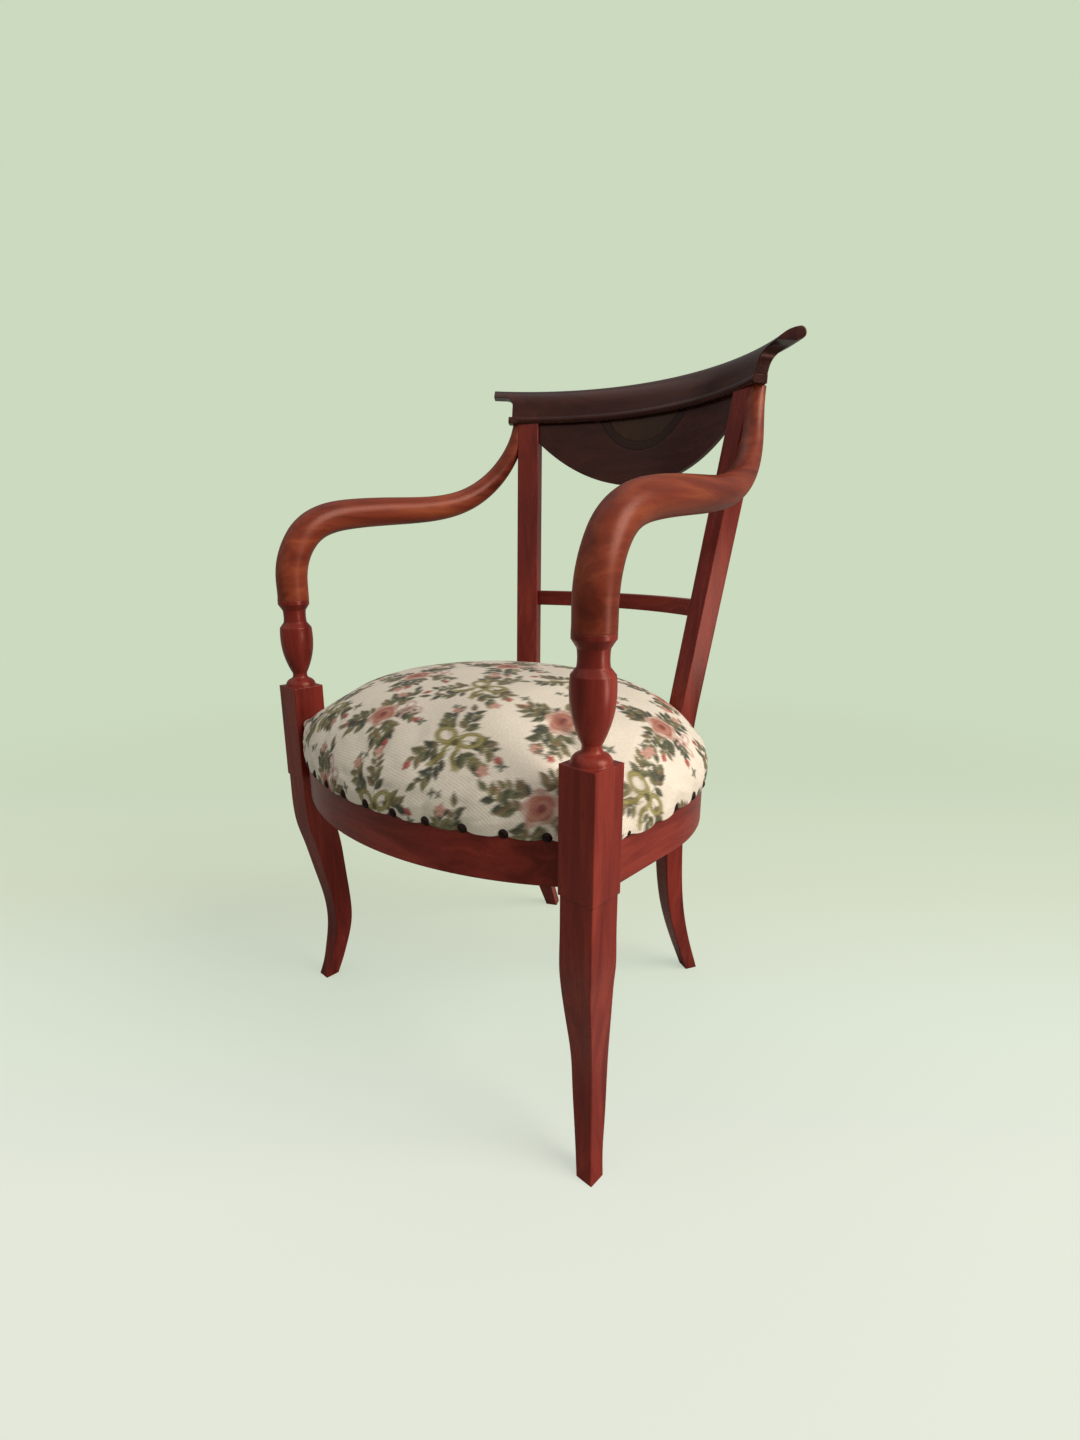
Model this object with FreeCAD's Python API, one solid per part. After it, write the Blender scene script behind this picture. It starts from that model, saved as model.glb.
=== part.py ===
"""Open armchair with a bowed, stuffed-over seat, scrolled arms and a curved crest rail.

Millimetres, +Z up, the chair faces -Y, +X is the sitter's left.  Left pieces are drawn on the +X side
and mirrored.  Everything is drawn from a plan datum on the chair's centre line and moved along Y at
the end, so that the part's origin lies on the floor under the middle of its overall box.
"""
import FreeCAD
import Part
import math
import os

V = FreeCAD.Vector
UP = V(0, 0, 1)

# Distance from the part's origin back to the plan datum
DATUM_Y = 58.2

# Fits
GLUE_GAP = 0.1
CLOTH_GAP = 0.3

# Rounding of the sharp long edges of legs and rails
EDGE_EASE = 1.2

# Seat frame: a bowed front, straight sides and a half-oval back
SEAT_HALF_WIDTH = 264.0
SEAT_FRONT_Y = -336.0
SEAT_BACK_Y = 112.0
FRONT_BOW_RADIUS = 388.0
SIDE_STRAIGHT_END_Y = -120.0
FRONT_CORNER_BULGE = 7.0
RAIL_THICKNESS = 28.0
RAIL_BOTTOM_Z = 331.0
RAIL_HEIGHT = 71.0

# Front legs: a square block over a leg that curves in at the ankle and out at the toe
LEG_INSET = 9.5
BLOCK_SIDE = 42.0
BLOCK_BOTTOM_Z = 331.0
BLOCK_HEIGHT = 126.0
BLOCK_OVERLAP = 25.5
BLOCK_SHOULDER = 1.5
KNEE_SIDE = 39.0
KNEE_SHARE = 0.908
# height as a share of the leg, centre's offset outward to the side and to the front, side of the square
LEG_LEVELS = (
    (0.000, 3.9, -5.9, 20.5),
    (0.055, -0.6, -10.4, 21.0),
    (0.156, -6.4, -17.0, 23.5),
    (0.288, -11.6, -22.4, 26.5),
    (0.385, -11.6, -21.6, 28.0),
    (0.537, -9.0, -15.0, 33.0),
    (0.683, -6.0, -8.0, 38.0),
)
RAIL_TENON_LENGTH = 22.0
RAIL_TENON_WIDTH = 12.0
RAIL_TENON_HEIGHT = 45.0

# Turned arm support on the block: radii, and heights above the block
DOME_RADIUS = 19.5
DOME_HEIGHT = 11.5
COVE_RADIUS = 12.0
NECK_RADIUS = 9.3
NECK_HEIGHT = 17.5
NECK_LENGTH = 1.5
VASE_RADIUS = 21.0
VASE_HEIGHT = 68.0
SHOULDER_RADIUS = 20.2
SHOULDER_HEIGHT = 81.0
COLLAR_RADIUS = 14.2
COLLAR_FLARE = 0.6
COLLAR_LOW = 88.0
COLLAR_HIGH = 104.0
SUPPORT_TOP_RADIUS = 20.0
SUPPORT_BEVEL_HEIGHT = 112.0
SUPPORT_HEIGHT = 117.0
TENON_RADIUS = 8.0
TENON_LENGTH = 24.0

# Rear legs: one piece from the floor to the crest, turned to face the middle of the seat
STILE_TURN = 27.0
STILE_WIDTH = 33.0
STILE_DEPTH = 26.0
STILE_STRAIGHT_Z = 446.0
STILE_SPREAD = 0.0349
STILE_RAKE = 0.156
STILE_TOP_BEVEL = 25.0
# height, centre along the turned leg's depth, depth
REAR_LEG_DEPTHS = (
    (0.0, 197.0, 19.0),
    (60.0, 172.0, 21.5),
    (125.0, 151.0, 24.5),
    (200.0, 139.5, STILE_DEPTH),
    (300.0, 135.0, STILE_DEPTH),
    (STILE_STRAIGHT_Z, 145.6, STILE_DEPTH),
)
# height, centre across the turned leg's width, width
REAR_LEG_WIDTHS = (
    (0.0, 60.2, 20.0),
    (90.0, 73.0, 26.0),
    (190.0, 80.3, 31.5),
    (RAIL_BOTTOM_Z, 86.0, STILE_WIDTH),
)

# Back: crest, panel and middle rail are arcs about upright lines on the centre plane
BACK_TILT = 3.0
CREST_BOTTOM_Z = 827.0
CREST_RADIUS = 330.0
CREST_THICKNESS = 17.0
CREST_HALF_WIDTH = 200.0
CREST_LIP_OVERHANG = 22.5
CREST_LIP_UNDER = 40.0
CREST_LIP_FILLET = 14.0
CREST_BEAD_HEIGHT = 10.0
CREST_BEAD_PROUD = 2.0
CREST_BEAD_OVERHANG = 4.0
# front line of the crest's section, then its rolled lip and its back: (behind the front edge, above it)
CREST_FRONT_TURN = (4.0, 20.0)
CREST_FRONT_CURVE = (14.0, 42.0)
CREST_LIP_TOP = (37.0, 55.0)
CREST_LIP_NOSE = (45.5, 51.5)
CREST_LIP_BACK = (43.5, 43.0)
CREST_BACK_CURVE = (28.0, 33.5)
CREST_BACK_TURN = (20.5, 19.0)
PANEL_SETBACK = 6.0
PANEL_THICKNESS = 9.0
PANEL_LEAN = 0.1
PANEL_DROP = 96.0
PANEL_ARC_RADIUS = 235.0
INLAY_THICKNESS = 1.2
INLAY_CENTRE_UP = 34.0
INLAY_ARC_RADIUS = 74.6
INLAY_BAND_WIDTH = 12.0
MID_RAIL_RADIUS = 299.0
MID_RAIL_THICKNESS = 14.0
MID_RAIL_SETBACK = 2.0
MID_RAIL_BOTTOM_Z = 552.0
MID_RAIL_HEIGHT = 22.0

# Arms: round, rising from the support, over and back, then up the outside of the stile
ARM_END_RADIUS = 9.5
ARM_TOP_Z = 690.0
ARM_END_STANDOFF = 0.5
ARM_END_FORWARD = 2.0
ARM_TAPER_START = 0.2
ARM_TAPER_POWER = 2.2
ARM_SECTIONS = 20

# Hidden joinery
CORNER_BLOCK_DEPTH = 34.0
CORNER_BLOCK_LENGTH = 116.0
CORNER_BLOCK_HEIGHT = 40.0
CORNER_BLOCK_LIFT = 12.0
SCREW_RADIUS = 2.2
SCREW_HEAD_RADIUS = 4.2
SCREW_HEAD_DEPTH = 3.0
SCREW_SLOT_WIDTH = 0.9
SCREW_SLOT_DEPTH = 1.1
BLOCK_SCREW_LENGTH = 46.0
BLOCK_SCREW_SPACING = 64.0
LEG_SCREW_LENGTH = 64.0
DOWEL_RADIUS = 4.0
DOWEL_LENGTH = 34.0
PANEL_DOWEL_RADIUS = 2.5

# Upholstery
WEB_WIDTH = 50.0
WEB_THICKNESS = 1.5
WEB_COUNT = 4
WEB_PITCH = 86.0
WEB_EDGE_INSET = 5.0
TACK_RADIUS = 1.1
TACK_HEAD_RADIUS = 4.0
TACK_HEAD_HEIGHT = 0.9
TACK_LENGTH = 12.0
TACK_SPACING = 30.0
TACK_INSET = 12.0
HESSIAN_THICKNESS = 1.0
COVER_THICKNESS = 1.9
COVER_BOTTOM_Z = 378.5
NAIL_COUNT = 38
NAIL_HEAD_RADIUS = 5.3
NAIL_HEAD_HEIGHT = 2.8
NAIL_SHANK_RADIUS = 1.0
NAIL_LENGTH = 14.0
NAIL_Z = 382.5
CROWN_HEIGHT = 77.0
# levels of the stuffed seat: share of the plan outline, share of the crown's height, and how far the front
# corners are drawn in (or pushed out towards the blocks where negative)
CROWN_LEVELS = (
    (1.012, 0.036, -4.0),
    (1.016, 0.080, 4.0),
    (1.000, 0.185, 75.0),
    (0.950, 0.343, 96.0),
    (0.860, 0.524, 98.0),
    (0.720, 0.712, 96.0),
    (0.520, 0.876, 94.0),
    (0.280, 0.973, 55.0),
    (0.090, 1.000, 14.0),
)

RAIL_TOP_Z = RAIL_BOTTOM_Z + RAIL_HEIGHT
BLOCK_TOP_Z = BLOCK_BOTTOM_Z + BLOCK_HEIGHT
ARM_START_Z = BLOCK_TOP_Z + SUPPORT_HEIGHT
SEAT_MID_Y = (SEAT_FRONT_Y + SEAT_BACK_Y) / 2
FRONT_BOW_CENTRE_Y = SEAT_FRONT_Y + FRONT_BOW_RADIUS
LEG_X = SEAT_HALF_WIDTH - LEG_INSET
BLOCK_INNER_X = LEG_X - BLOCK_SIDE / 2
# the bowed front meets the inner face of the block, ahead of its back face
BOW_END_Y = FRONT_BOW_CENTRE_Y - math.sqrt(FRONT_BOW_RADIUS ** 2 - BLOCK_INNER_X ** 2)
BLOCK_BACK_Y = BOW_END_Y + BLOCK_OVERLAP
LEG_Y = BLOCK_BACK_Y - BLOCK_SIDE / 2
WEB_TOP_Z = RAIL_TOP_Z + 2 * WEB_THICKNESS
PAD_BOTTOM_Z = WEB_TOP_Z + TACK_HEAD_HEIGHT + HESSIAN_THICKNESS
# Working sizes: a length beyond the whole chair, and how far joined solids run into each other
REACH = 1000.0
OVERLAP = 1.0


def mirrored(shape):
    """The same piece on the other side of the chair."""
    return shape.mirror(V(0, 0, 0), V(1, 0, 0))


def face_of(edges):
    """Plane face inside a closed run of edges."""
    return Part.Face(Part.Wire(Part.__sortEdges__(edges)))


def arc(first, middle, last):
    return Part.Arc(first, middle, last).toShape()


def line(first, last):
    return Part.LineSegment(first, last).toShape()


def polygon_edges(points):
    return [line(first, last) for first, last in zip(points, points[1:] + points[:1])]


def middle_solid(shape):
    """The solid that lies nearest the chair's centre plane."""
    return min(shape.Solids, key=lambda solid: abs(solid.CenterOfMass.x))


def half_space_above(point, normal):
    """A large block on the side of a plane that its normal points to."""
    block = Part.makeBox(2 * REACH, 2 * REACH, REACH, V(-REACH, -REACH, 0))
    block.Placement = FreeCAD.Placement(point, FreeCAD.Rotation(UP, normal))
    return block


def bow_y(x, radius):
    """Y of the bowed front line of a given radius at x."""
    return FRONT_BOW_CENTRE_Y - math.sqrt(radius ** 2 - x ** 2)


def oval_point(angle, offset):
    """Point of the half-oval back; 0 degrees is its left end, 90 its middle."""
    across = SEAT_HALF_WIDTH + offset
    deep = SEAT_BACK_Y - SIDE_STRAIGHT_END_Y + offset
    turn = math.radians(angle)
    return V(across * math.cos(turn), SIDE_STRAIGHT_END_Y + deep * math.sin(turn), 0)


def half_outline(offset, z, sign, scale=1.0, draw_in=0.0):
    """Edges of one half of the seat's plan line, from the middle of the front to the middle of the back.

    The line is moved out by an offset, scaled about the seat's middle, and its front corner drawn in along
    the bow, or pushed out to the front where the draw is negative.
    """
    def place(point):
        return V(point.x * sign * scale, SEAT_MID_Y + (point.y - SEAT_MID_Y) * scale, z)

    radius = FRONT_BOW_RADIUS + offset
    front = V(0, FRONT_BOW_CENTRE_Y - radius, 0)
    inward = max(draw_in, 0.0)
    corner_x = BLOCK_INNER_X - inward
    corner = V(corner_x, bow_y(corner_x, radius) + min(draw_in, 0.0), 0)
    bow_depth = corner.y - front.y
    bow_radius = (corner_x ** 2 + bow_depth ** 2) / (2 * bow_depth)
    bow_middle = V(corner_x / 2, front.y + bow_radius - math.sqrt(bow_radius ** 2 - corner_x ** 2 / 4), 0)
    corner_end = V(SEAT_HALF_WIDTH + offset, BLOCK_BACK_Y + FRONT_CORNER_BULGE + inward, 0)
    chord = corner_end - corner
    outward = V(chord.y, -chord.x, 0).normalize()
    corner_middle = (corner + corner_end) * 0.5 + outward * (FRONT_CORNER_BULGE + inward / 5)
    oval = [place(oval_point(angle, offset)) for angle in (0, 22.5, 45, 67.5, 90)]
    return [
        arc(place(front), place(bow_middle), place(corner)),
        arc(place(corner), place(corner_middle), place(corner_end)),
        line(place(corner_end), oval[0]),
        arc(*oval[0:3]),
        arc(*oval[2:5]),
    ]


def seat_outline(offset, z, scale=1.0, draw_in=0.0):
    """Closed plan line of the seat."""
    edges = half_outline(offset, z, 1, scale, draw_in) + half_outline(offset, z, -1, scale, draw_in)
    return Part.Wire(Part.__sortEdges__(edges))


def seat_prism(offset, bottom, top):
    return Part.Face(seat_outline(offset, bottom)).extrude(V(0, 0, top - bottom))


def seat_well(bottom, top):
    """The space inside the four seat rails."""
    inner_x = SEAT_HALF_WIDTH - RAIL_THICKNESS
    radius = FRONT_BOW_RADIUS - RAIL_THICKNESS
    corner_y = bow_y(inner_x, radius)
    edges = [arc(V(-inner_x, corner_y, 0), V(0, FRONT_BOW_CENTRE_Y - radius, 0), V(inner_x, corner_y, 0))]
    for sign in (1, -1):
        points = [oval_point(angle, -RAIL_THICKNESS) for angle in (0, 22.5, 45, 67.5, 90)]
        points = [V(point.x * sign, point.y, 0) for point in points]
        edges.append(line(V(inner_x * sign, corner_y, 0), points[0]))
        edges.append(arc(*points[0:3]))
        edges.append(arc(*points[2:5]))
    well = face_of(edges).extrude(V(0, 0, top - bottom))
    well.translate(V(0, 0, bottom))
    return well


def curved_bar_face(levels, top):
    """Upright band in the XZ plane: splines through the levels' two edges, straight from the last to top."""
    sides = []
    for sign in (-1, 1):
        points = [V(centre + sign * width / 2, 0, z) for z, centre, width in levels]
        end = V(top[1] + sign * top[2] / 2, 0, top[0])
        curve = Part.BSplineCurve()
        curve.interpolate(
            Points=points,
            InitialTangent=points[1] - points[0],
            FinalTangent=end - points[-1],
            Scale=True,
        )
        sides.append([curve.toShape(), line(points[-1], end), points[0], end])
    edges = sides[0][:2] + sides[1][:2]
    edges.append(line(sides[0][2], sides[1][2]))
    edges.append(line(sides[0][3], sides[1][3]))
    return face_of(edges)


def extruded_both_ways(face, direction):
    """Solid as wide as the face's plane is deep on either side of it."""
    solid = face.extrude(direction * 2)
    solid.translate(direction * -1)
    return solid


def upright_edges_eased(leg):
    """A square leg with its long upright edges rounded."""
    return leg.makeFillet(EDGE_EASE, [edge for edge in leg.Edges if edge.BoundBox.ZLength > BLOCK_SIDE / 2])


def front_leg_shaft():
    """Leg under the block, curved to the side and to the front, about its own upright centre line."""
    bars = []
    for axis in (1, 2):
        levels = [(level[0] * BLOCK_BOTTOM_Z, level[axis], level[3]) for level in LEG_LEVELS]
        levels.append((BLOCK_BOTTOM_Z * KNEE_SHARE, 0.0, KNEE_SIDE))
        top = (BLOCK_BOTTOM_Z + OVERLAP, 0.0, KNEE_SIDE)
        bars.append(extruded_both_ways(curved_bar_face(levels, top), V(0, 2 * BLOCK_SIDE, 0)))
    bars[1].rotate(V(0, 0, 0), UP, -90)
    return upright_edges_eased(bars[0].common(bars[1]))


def arm_support():
    """Turned support on top of the block, with a round tenon for the arm."""
    def at(radius, height):
        return V(radius, 0, BLOCK_TOP_Z + height)

    dome_middle = at((2 * DOME_RADIUS + COVE_RADIUS) / 3, (BLOCK_SHOULDER + 2 * DOME_HEIGHT) / 3)
    cove_middle = at((COVE_RADIUS + 3 * NECK_RADIUS) / 4, (2 * DOME_HEIGHT + NECK_HEIGHT) / 3)
    vase = Part.BSplineCurve()
    vase.interpolate([
        at(NECK_RADIUS, NECK_HEIGHT + NECK_LENGTH),
        at((NECK_RADIUS + VASE_RADIUS) / 2, NECK_HEIGHT + (VASE_HEIGHT - NECK_HEIGHT) * 0.3),
        at(VASE_RADIUS * 0.95, NECK_HEIGHT + (VASE_HEIGHT - NECK_HEIGHT) * 0.68),
        at(VASE_RADIUS, VASE_HEIGHT),
        at(SHOULDER_RADIUS, SHOULDER_HEIGHT),
    ])
    collar_edge = COLLAR_RADIUS + COLLAR_FLARE
    edges = [
        line(at(0, -OVERLAP), at(DOME_RADIUS, -OVERLAP)),
        line(at(DOME_RADIUS, -OVERLAP), at(DOME_RADIUS, BLOCK_SHOULDER)),
        arc(at(DOME_RADIUS, BLOCK_SHOULDER), dome_middle, at(COVE_RADIUS, DOME_HEIGHT)),
        arc(at(COVE_RADIUS, DOME_HEIGHT), cove_middle, at(NECK_RADIUS, NECK_HEIGHT)),
        line(at(NECK_RADIUS, NECK_HEIGHT), at(NECK_RADIUS, NECK_HEIGHT + NECK_LENGTH)),
        vase.toShape(),
        line(at(SHOULDER_RADIUS, SHOULDER_HEIGHT), at(collar_edge, COLLAR_LOW)),
        arc(at(collar_edge, COLLAR_LOW), at(COLLAR_RADIUS, (COLLAR_LOW + COLLAR_HIGH) / 2),
            at(collar_edge, COLLAR_HIGH)),
        line(at(collar_edge, COLLAR_HIGH), at(SUPPORT_TOP_RADIUS, SUPPORT_BEVEL_HEIGHT)),
        line(at(SUPPORT_TOP_RADIUS, SUPPORT_BEVEL_HEIGHT), at(SUPPORT_TOP_RADIUS, SUPPORT_HEIGHT)),
        line(at(SUPPORT_TOP_RADIUS, SUPPORT_HEIGHT), at(TENON_RADIUS, SUPPORT_HEIGHT)),
        line(at(TENON_RADIUS, SUPPORT_HEIGHT), at(TENON_RADIUS, SUPPORT_HEIGHT + TENON_LENGTH)),
        line(at(TENON_RADIUS, SUPPORT_HEIGHT + TENON_LENGTH), at(0, SUPPORT_HEIGHT + TENON_LENGTH)),
        line(at(0, SUPPORT_HEIGHT + TENON_LENGTH), at(0, -OVERLAP)),
    ]
    return face_of(edges).revolve(V(0, 0, 0), UP, 360)


def rail_tenon(gap):
    """Tongue of the side rail that enters the back of the front leg's block; gap widens it to a mortise."""
    width = RAIL_TENON_WIDTH + 2 * gap
    height = RAIL_TENON_HEIGHT + 2 * gap
    middle_x = SEAT_HALF_WIDTH - RAIL_THICKNESS / 2
    bottom = RAIL_BOTTOM_Z + (RAIL_HEIGHT - RAIL_TENON_HEIGHT) / 2 - gap
    corner = V(middle_x - width / 2, BLOCK_BACK_Y - RAIL_TENON_LENGTH - gap, bottom)
    return Part.makeBox(width, RAIL_TENON_LENGTH + gap + RAIL_THICKNESS, height, corner)


def front_leg_block():
    """Square block with eased upright edges, its top turned to a low cone that leaves the corners lowest."""
    half = BLOCK_SIDE / 2
    height = BLOCK_HEIGHT + BLOCK_SHOULDER
    block = Part.makeBox(BLOCK_SIDE, BLOCK_SIDE, height, V(-half, -half, BLOCK_BOTTOM_Z))
    block = upright_edges_eased(block)
    above = Part.makeBox(BLOCK_SIDE, BLOCK_SIDE, height, V(-half, -half, BLOCK_TOP_Z))
    corner_radius = half * math.sqrt(2)
    cone = Part.makeCone(corner_radius, DOME_RADIUS, BLOCK_SHOULDER, V(0, 0, BLOCK_TOP_Z))
    return block.cut(above.cut(cone))


def front_leg():
    leg = front_leg_shaft().fuse([front_leg_block(), arm_support()]).removeSplitter()
    leg.translate(V(LEG_X, LEG_Y, 0))
    return leg.cut(rail_tenon(GLUE_GAP))


def stile_depth_centre(z):
    """Centre of the straight stile along its depth at a height."""
    return REAR_LEG_DEPTHS[-1][1] + STILE_RAKE * (z - STILE_STRAIGHT_Z)


def stile_width_centre(z):
    """Centre of the straight stile across its width at a height."""
    return REAR_LEG_WIDTHS[-1][1] + STILE_SPREAD * (z - RAIL_BOTTOM_Z)


def turned(across, deep, z=0.0):
    """Plan point from the turned rear leg's own width and depth axes."""
    turn = math.radians(STILE_TURN)
    return V(
        across * math.cos(turn) + deep * math.sin(turn),
        deep * math.cos(turn) - across * math.sin(turn),
        z,
    )


def on_stile(z):
    return turned(stile_width_centre(z), stile_depth_centre(z), z)


def arc_centre_y(z, radius):
    """Y of the centre of an arc of that radius that passes through the stiles' middles at a height."""
    stile = on_stile(z)
    return stile.y - math.sqrt(radius ** 2 - stile.x ** 2)


def crest_angle(half_width):
    """Angle of the crest's front arc from the chair's middle to a half width."""
    return math.degrees(math.asin(half_width / CREST_RADIUS))


def back_placement():
    """Frame of the crest and panel: the crest's front is flush with the stiles' and its axis leans back."""
    lift = CREST_RADIUS * math.sin(math.radians(BACK_TILT))
    centre_y = arc_centre_y(CREST_BOTTOM_Z, CREST_RADIUS + STILE_DEPTH / 2)
    axis_point = V(0, centre_y, CREST_BOTTOM_Z + lift)
    return FreeCAD.Placement(axis_point, FreeCAD.Rotation(V(1, 0, 0), -BACK_TILT))


def above_crest_bottom():
    """All that lies above the crest's underside."""
    placement = back_placement()
    return half_space_above(placement.Base, placement.Rotation.multVec(UP))


def crest_seat(behind_front):
    """Point on the left stile at the crest's underside, so far behind the stile's front face."""
    deep = stile_depth_centre(CREST_BOTTOM_Z) - STILE_DEPTH / 2 + behind_front
    return turned(stile_width_centre(CREST_BOTTOM_Z), deep, CREST_BOTTOM_Z)


def behind_crest():
    """Waste that bevels the back of the stile's top down to the crest's thickness."""
    bevel = math.radians(STILE_TOP_BEVEL)
    normal = turned(0.0, math.cos(bevel), math.sin(bevel))
    return half_space_above(crest_seat(CREST_THICKNESS), normal)


def rear_leg(gap=0.0):
    """Left rear leg and stile, grown all round by a gap when it is used as a cutter."""
    def band(levels, centre):
        top_z = CREST_BOTTOM_Z + STILE_WIDTH
        grown = [(z, middle, size + 2 * gap) for z, middle, size in levels]
        return curved_bar_face(grown, (top_z, centre(top_z), grown[-1][2]))

    depth_face = band(REAR_LEG_DEPTHS, stile_depth_centre)
    width_face = band(REAR_LEG_WIDTHS, stile_width_centre)
    deep = extruded_both_ways(depth_face, V(0, REACH / 2, 0))
    deep.rotate(V(0, 0, 0), UP, 90)
    wide = extruded_both_ways(width_face, V(0, REACH / 2, 0))
    leg = upright_edges_eased(wide.common(deep))
    leg.rotate(V(0, 0, 0), UP, -STILE_TURN)
    return leg.cut([above_crest_bottom(), behind_crest()])


def swept_arc(edges, half_angle):
    """Section in the back's own frame (radius, height) turned about its axis, half to each side."""
    face = face_of(edges)
    face.rotate(V(0, 0, 0), UP, 90 - half_angle)
    return face.revolve(V(0, 0, 0), UP, 2 * half_angle)


def crest_end_cut():
    """Waste under the lip at the crest's left end, with a rounded inner corner."""
    fillet = CREST_LIP_FILLET
    top = CREST_LIP_UNDER
    reach = CREST_THICKNESS * 4
    eased = fillet * (1 - math.sqrt(0.5))
    edges = [
        line(V(0, 0, -1), V(0, 0, top - fillet)),
        arc(V(0, 0, top - fillet), V(eased, 0, top - eased), V(fillet, 0, top)),
        line(V(fillet, 0, top), V(reach, 0, top)),
        line(V(reach, 0, top), V(reach, 0, -1)),
        line(V(reach, 0, -1), V(0, 0, -1)),
    ]
    waste = face_of(edges).extrude(V(0, 2 * reach, 0))
    waste.translate(V(0, CREST_RADIUS - reach, 0))
    waste.rotate(V(0, 0, 0), UP, -crest_angle(CREST_HALF_WIDTH))
    return waste


def crest_bead():
    """Rounded moulding along the crest's lower edge, carried a little past its ends."""
    slope = CREST_FRONT_TURN[0] / CREST_FRONT_TURN[1]
    low_front = V(CREST_RADIUS, 0, 0)
    high_front = V(CREST_RADIUS + slope * CREST_BEAD_HEIGHT, 0, CREST_BEAD_HEIGHT)
    nose = V(CREST_RADIUS - CREST_BEAD_PROUD, 0, CREST_BEAD_HEIGHT / 2)
    high_back = V(CREST_RADIUS + CREST_THICKNESS, 0, CREST_BEAD_HEIGHT)
    low_back = V(CREST_RADIUS + CREST_THICKNESS, 0, 0)
    edges = [
        line(low_back, low_front),
        arc(low_front, nose, high_front),
        line(high_front, high_back),
        line(high_back, low_back),
    ]
    return swept_arc(edges, crest_angle(CREST_HALF_WIDTH + CREST_BEAD_OVERHANG))


def crest_rail():
    def at(point):
        return V(CREST_RADIUS + point[0], 0, point[1])

    front = (0.0, 0.0)
    back = (CREST_THICKNESS, 0.0)
    edges = [
        line(at(back), at(front)),
        line(at(front), at(CREST_FRONT_TURN)),
        arc(at(CREST_FRONT_TURN), at(CREST_FRONT_CURVE), at(CREST_LIP_TOP)),
        arc(at(CREST_LIP_TOP), at(CREST_LIP_NOSE), at(CREST_LIP_BACK)),
        arc(at(CREST_LIP_BACK), at(CREST_BACK_CURVE), at(CREST_BACK_TURN)),
        line(at(CREST_BACK_TURN), at(back)),
    ]
    crest = swept_arc(edges, crest_angle(CREST_HALF_WIDTH + CREST_LIP_OVERHANG))
    waste = crest_end_cut()
    crest = crest.cut([waste, mirrored(waste)]).fuse(crest_bead()).removeSplitter()
    crest.Placement = back_placement()
    return crest


def panel_skin(front, back):
    """Layer of the panel between two depths behind its front face, in the back's own frame."""
    outer = CREST_RADIUS + PANEL_SETBACK
    low = -PANEL_DROP - PANEL_THICKNESS
    lean = low * PANEL_LEAN
    return swept_arc(polygon_edges([
        V(outer + front, 0, 0),
        V(outer + back, 0, 0),
        V(outer + back + lean, 0, low),
        V(outer + front + lean, 0, low),
    ]), crest_angle(CREST_HALF_WIDTH))


def upright_disc(radius, centre_height):
    """Round bar along Y, wide enough to shape the panel from the front."""
    return Part.makeCylinder(radius, REACH, V(0, 0, centre_height), V(0, 1, 0))


def back_panel(stiles):
    """Half-round panel under the crest with its two inlaid pieces."""
    lower_edge = upright_disc(PANEL_ARC_RADIUS, PANEL_ARC_RADIUS - PANEL_DROP)
    half_band = INLAY_BAND_WIDTH / 2
    band_outside = upright_disc(INLAY_ARC_RADIUS + half_band, INLAY_CENTRE_UP)
    band_inside = upright_disc(INLAY_ARC_RADIUS - half_band, INLAY_CENTRE_UP)
    veneer = panel_skin(0.0, INLAY_THICKNESS)
    half_moon = middle_solid(veneer.common(band_inside))
    band = veneer.common(band_outside).cut(band_inside)
    panel = panel_skin(0.0, PANEL_THICKNESS).common(lower_edge).cut([half_moon, band])
    pieces = []
    for piece in (panel, band, half_moon):
        piece.Placement = back_placement()
        pieces.append(piece)
    pieces[0] = middle_solid(pieces[0].cut(stiles))
    return pieces


def mid_rail(stiles):
    outer = MID_RAIL_RADIUS + MID_RAIL_THICKNESS
    rail = swept_arc(polygon_edges([
        V(MID_RAIL_RADIUS, 0, 0),
        V(outer, 0, 0),
        V(outer, 0, MID_RAIL_HEIGHT),
        V(MID_RAIL_RADIUS, 0, MID_RAIL_HEIGHT),
    ]), crest_angle(CREST_HALF_WIDTH))
    long_edges = [edge for edge in rail.Edges if edge.Length > 2 * MID_RAIL_HEIGHT]
    rail = rail.makeFillet(EDGE_EASE, long_edges)
    rail.translate(V(0, mid_rail_centre_y(), MID_RAIL_BOTTOM_Z))
    return middle_solid(rail.cut(stiles))


def mid_rail_centre_y():
    middle_radius = MID_RAIL_RADIUS + MID_RAIL_THICKNESS / 2 - MID_RAIL_SETBACK
    return arc_centre_y(MID_RAIL_BOTTOM_Z + MID_RAIL_HEIGHT / 2, middle_radius)


def beside_stile(z):
    """Centre of the arm's rear end, standing off the stile's outer face."""
    across = stile_width_centre(z) + STILE_WIDTH / 2 + ARM_END_STANDOFF
    return turned(across, stile_depth_centre(z) - ARM_END_FORWARD, z)


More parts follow.
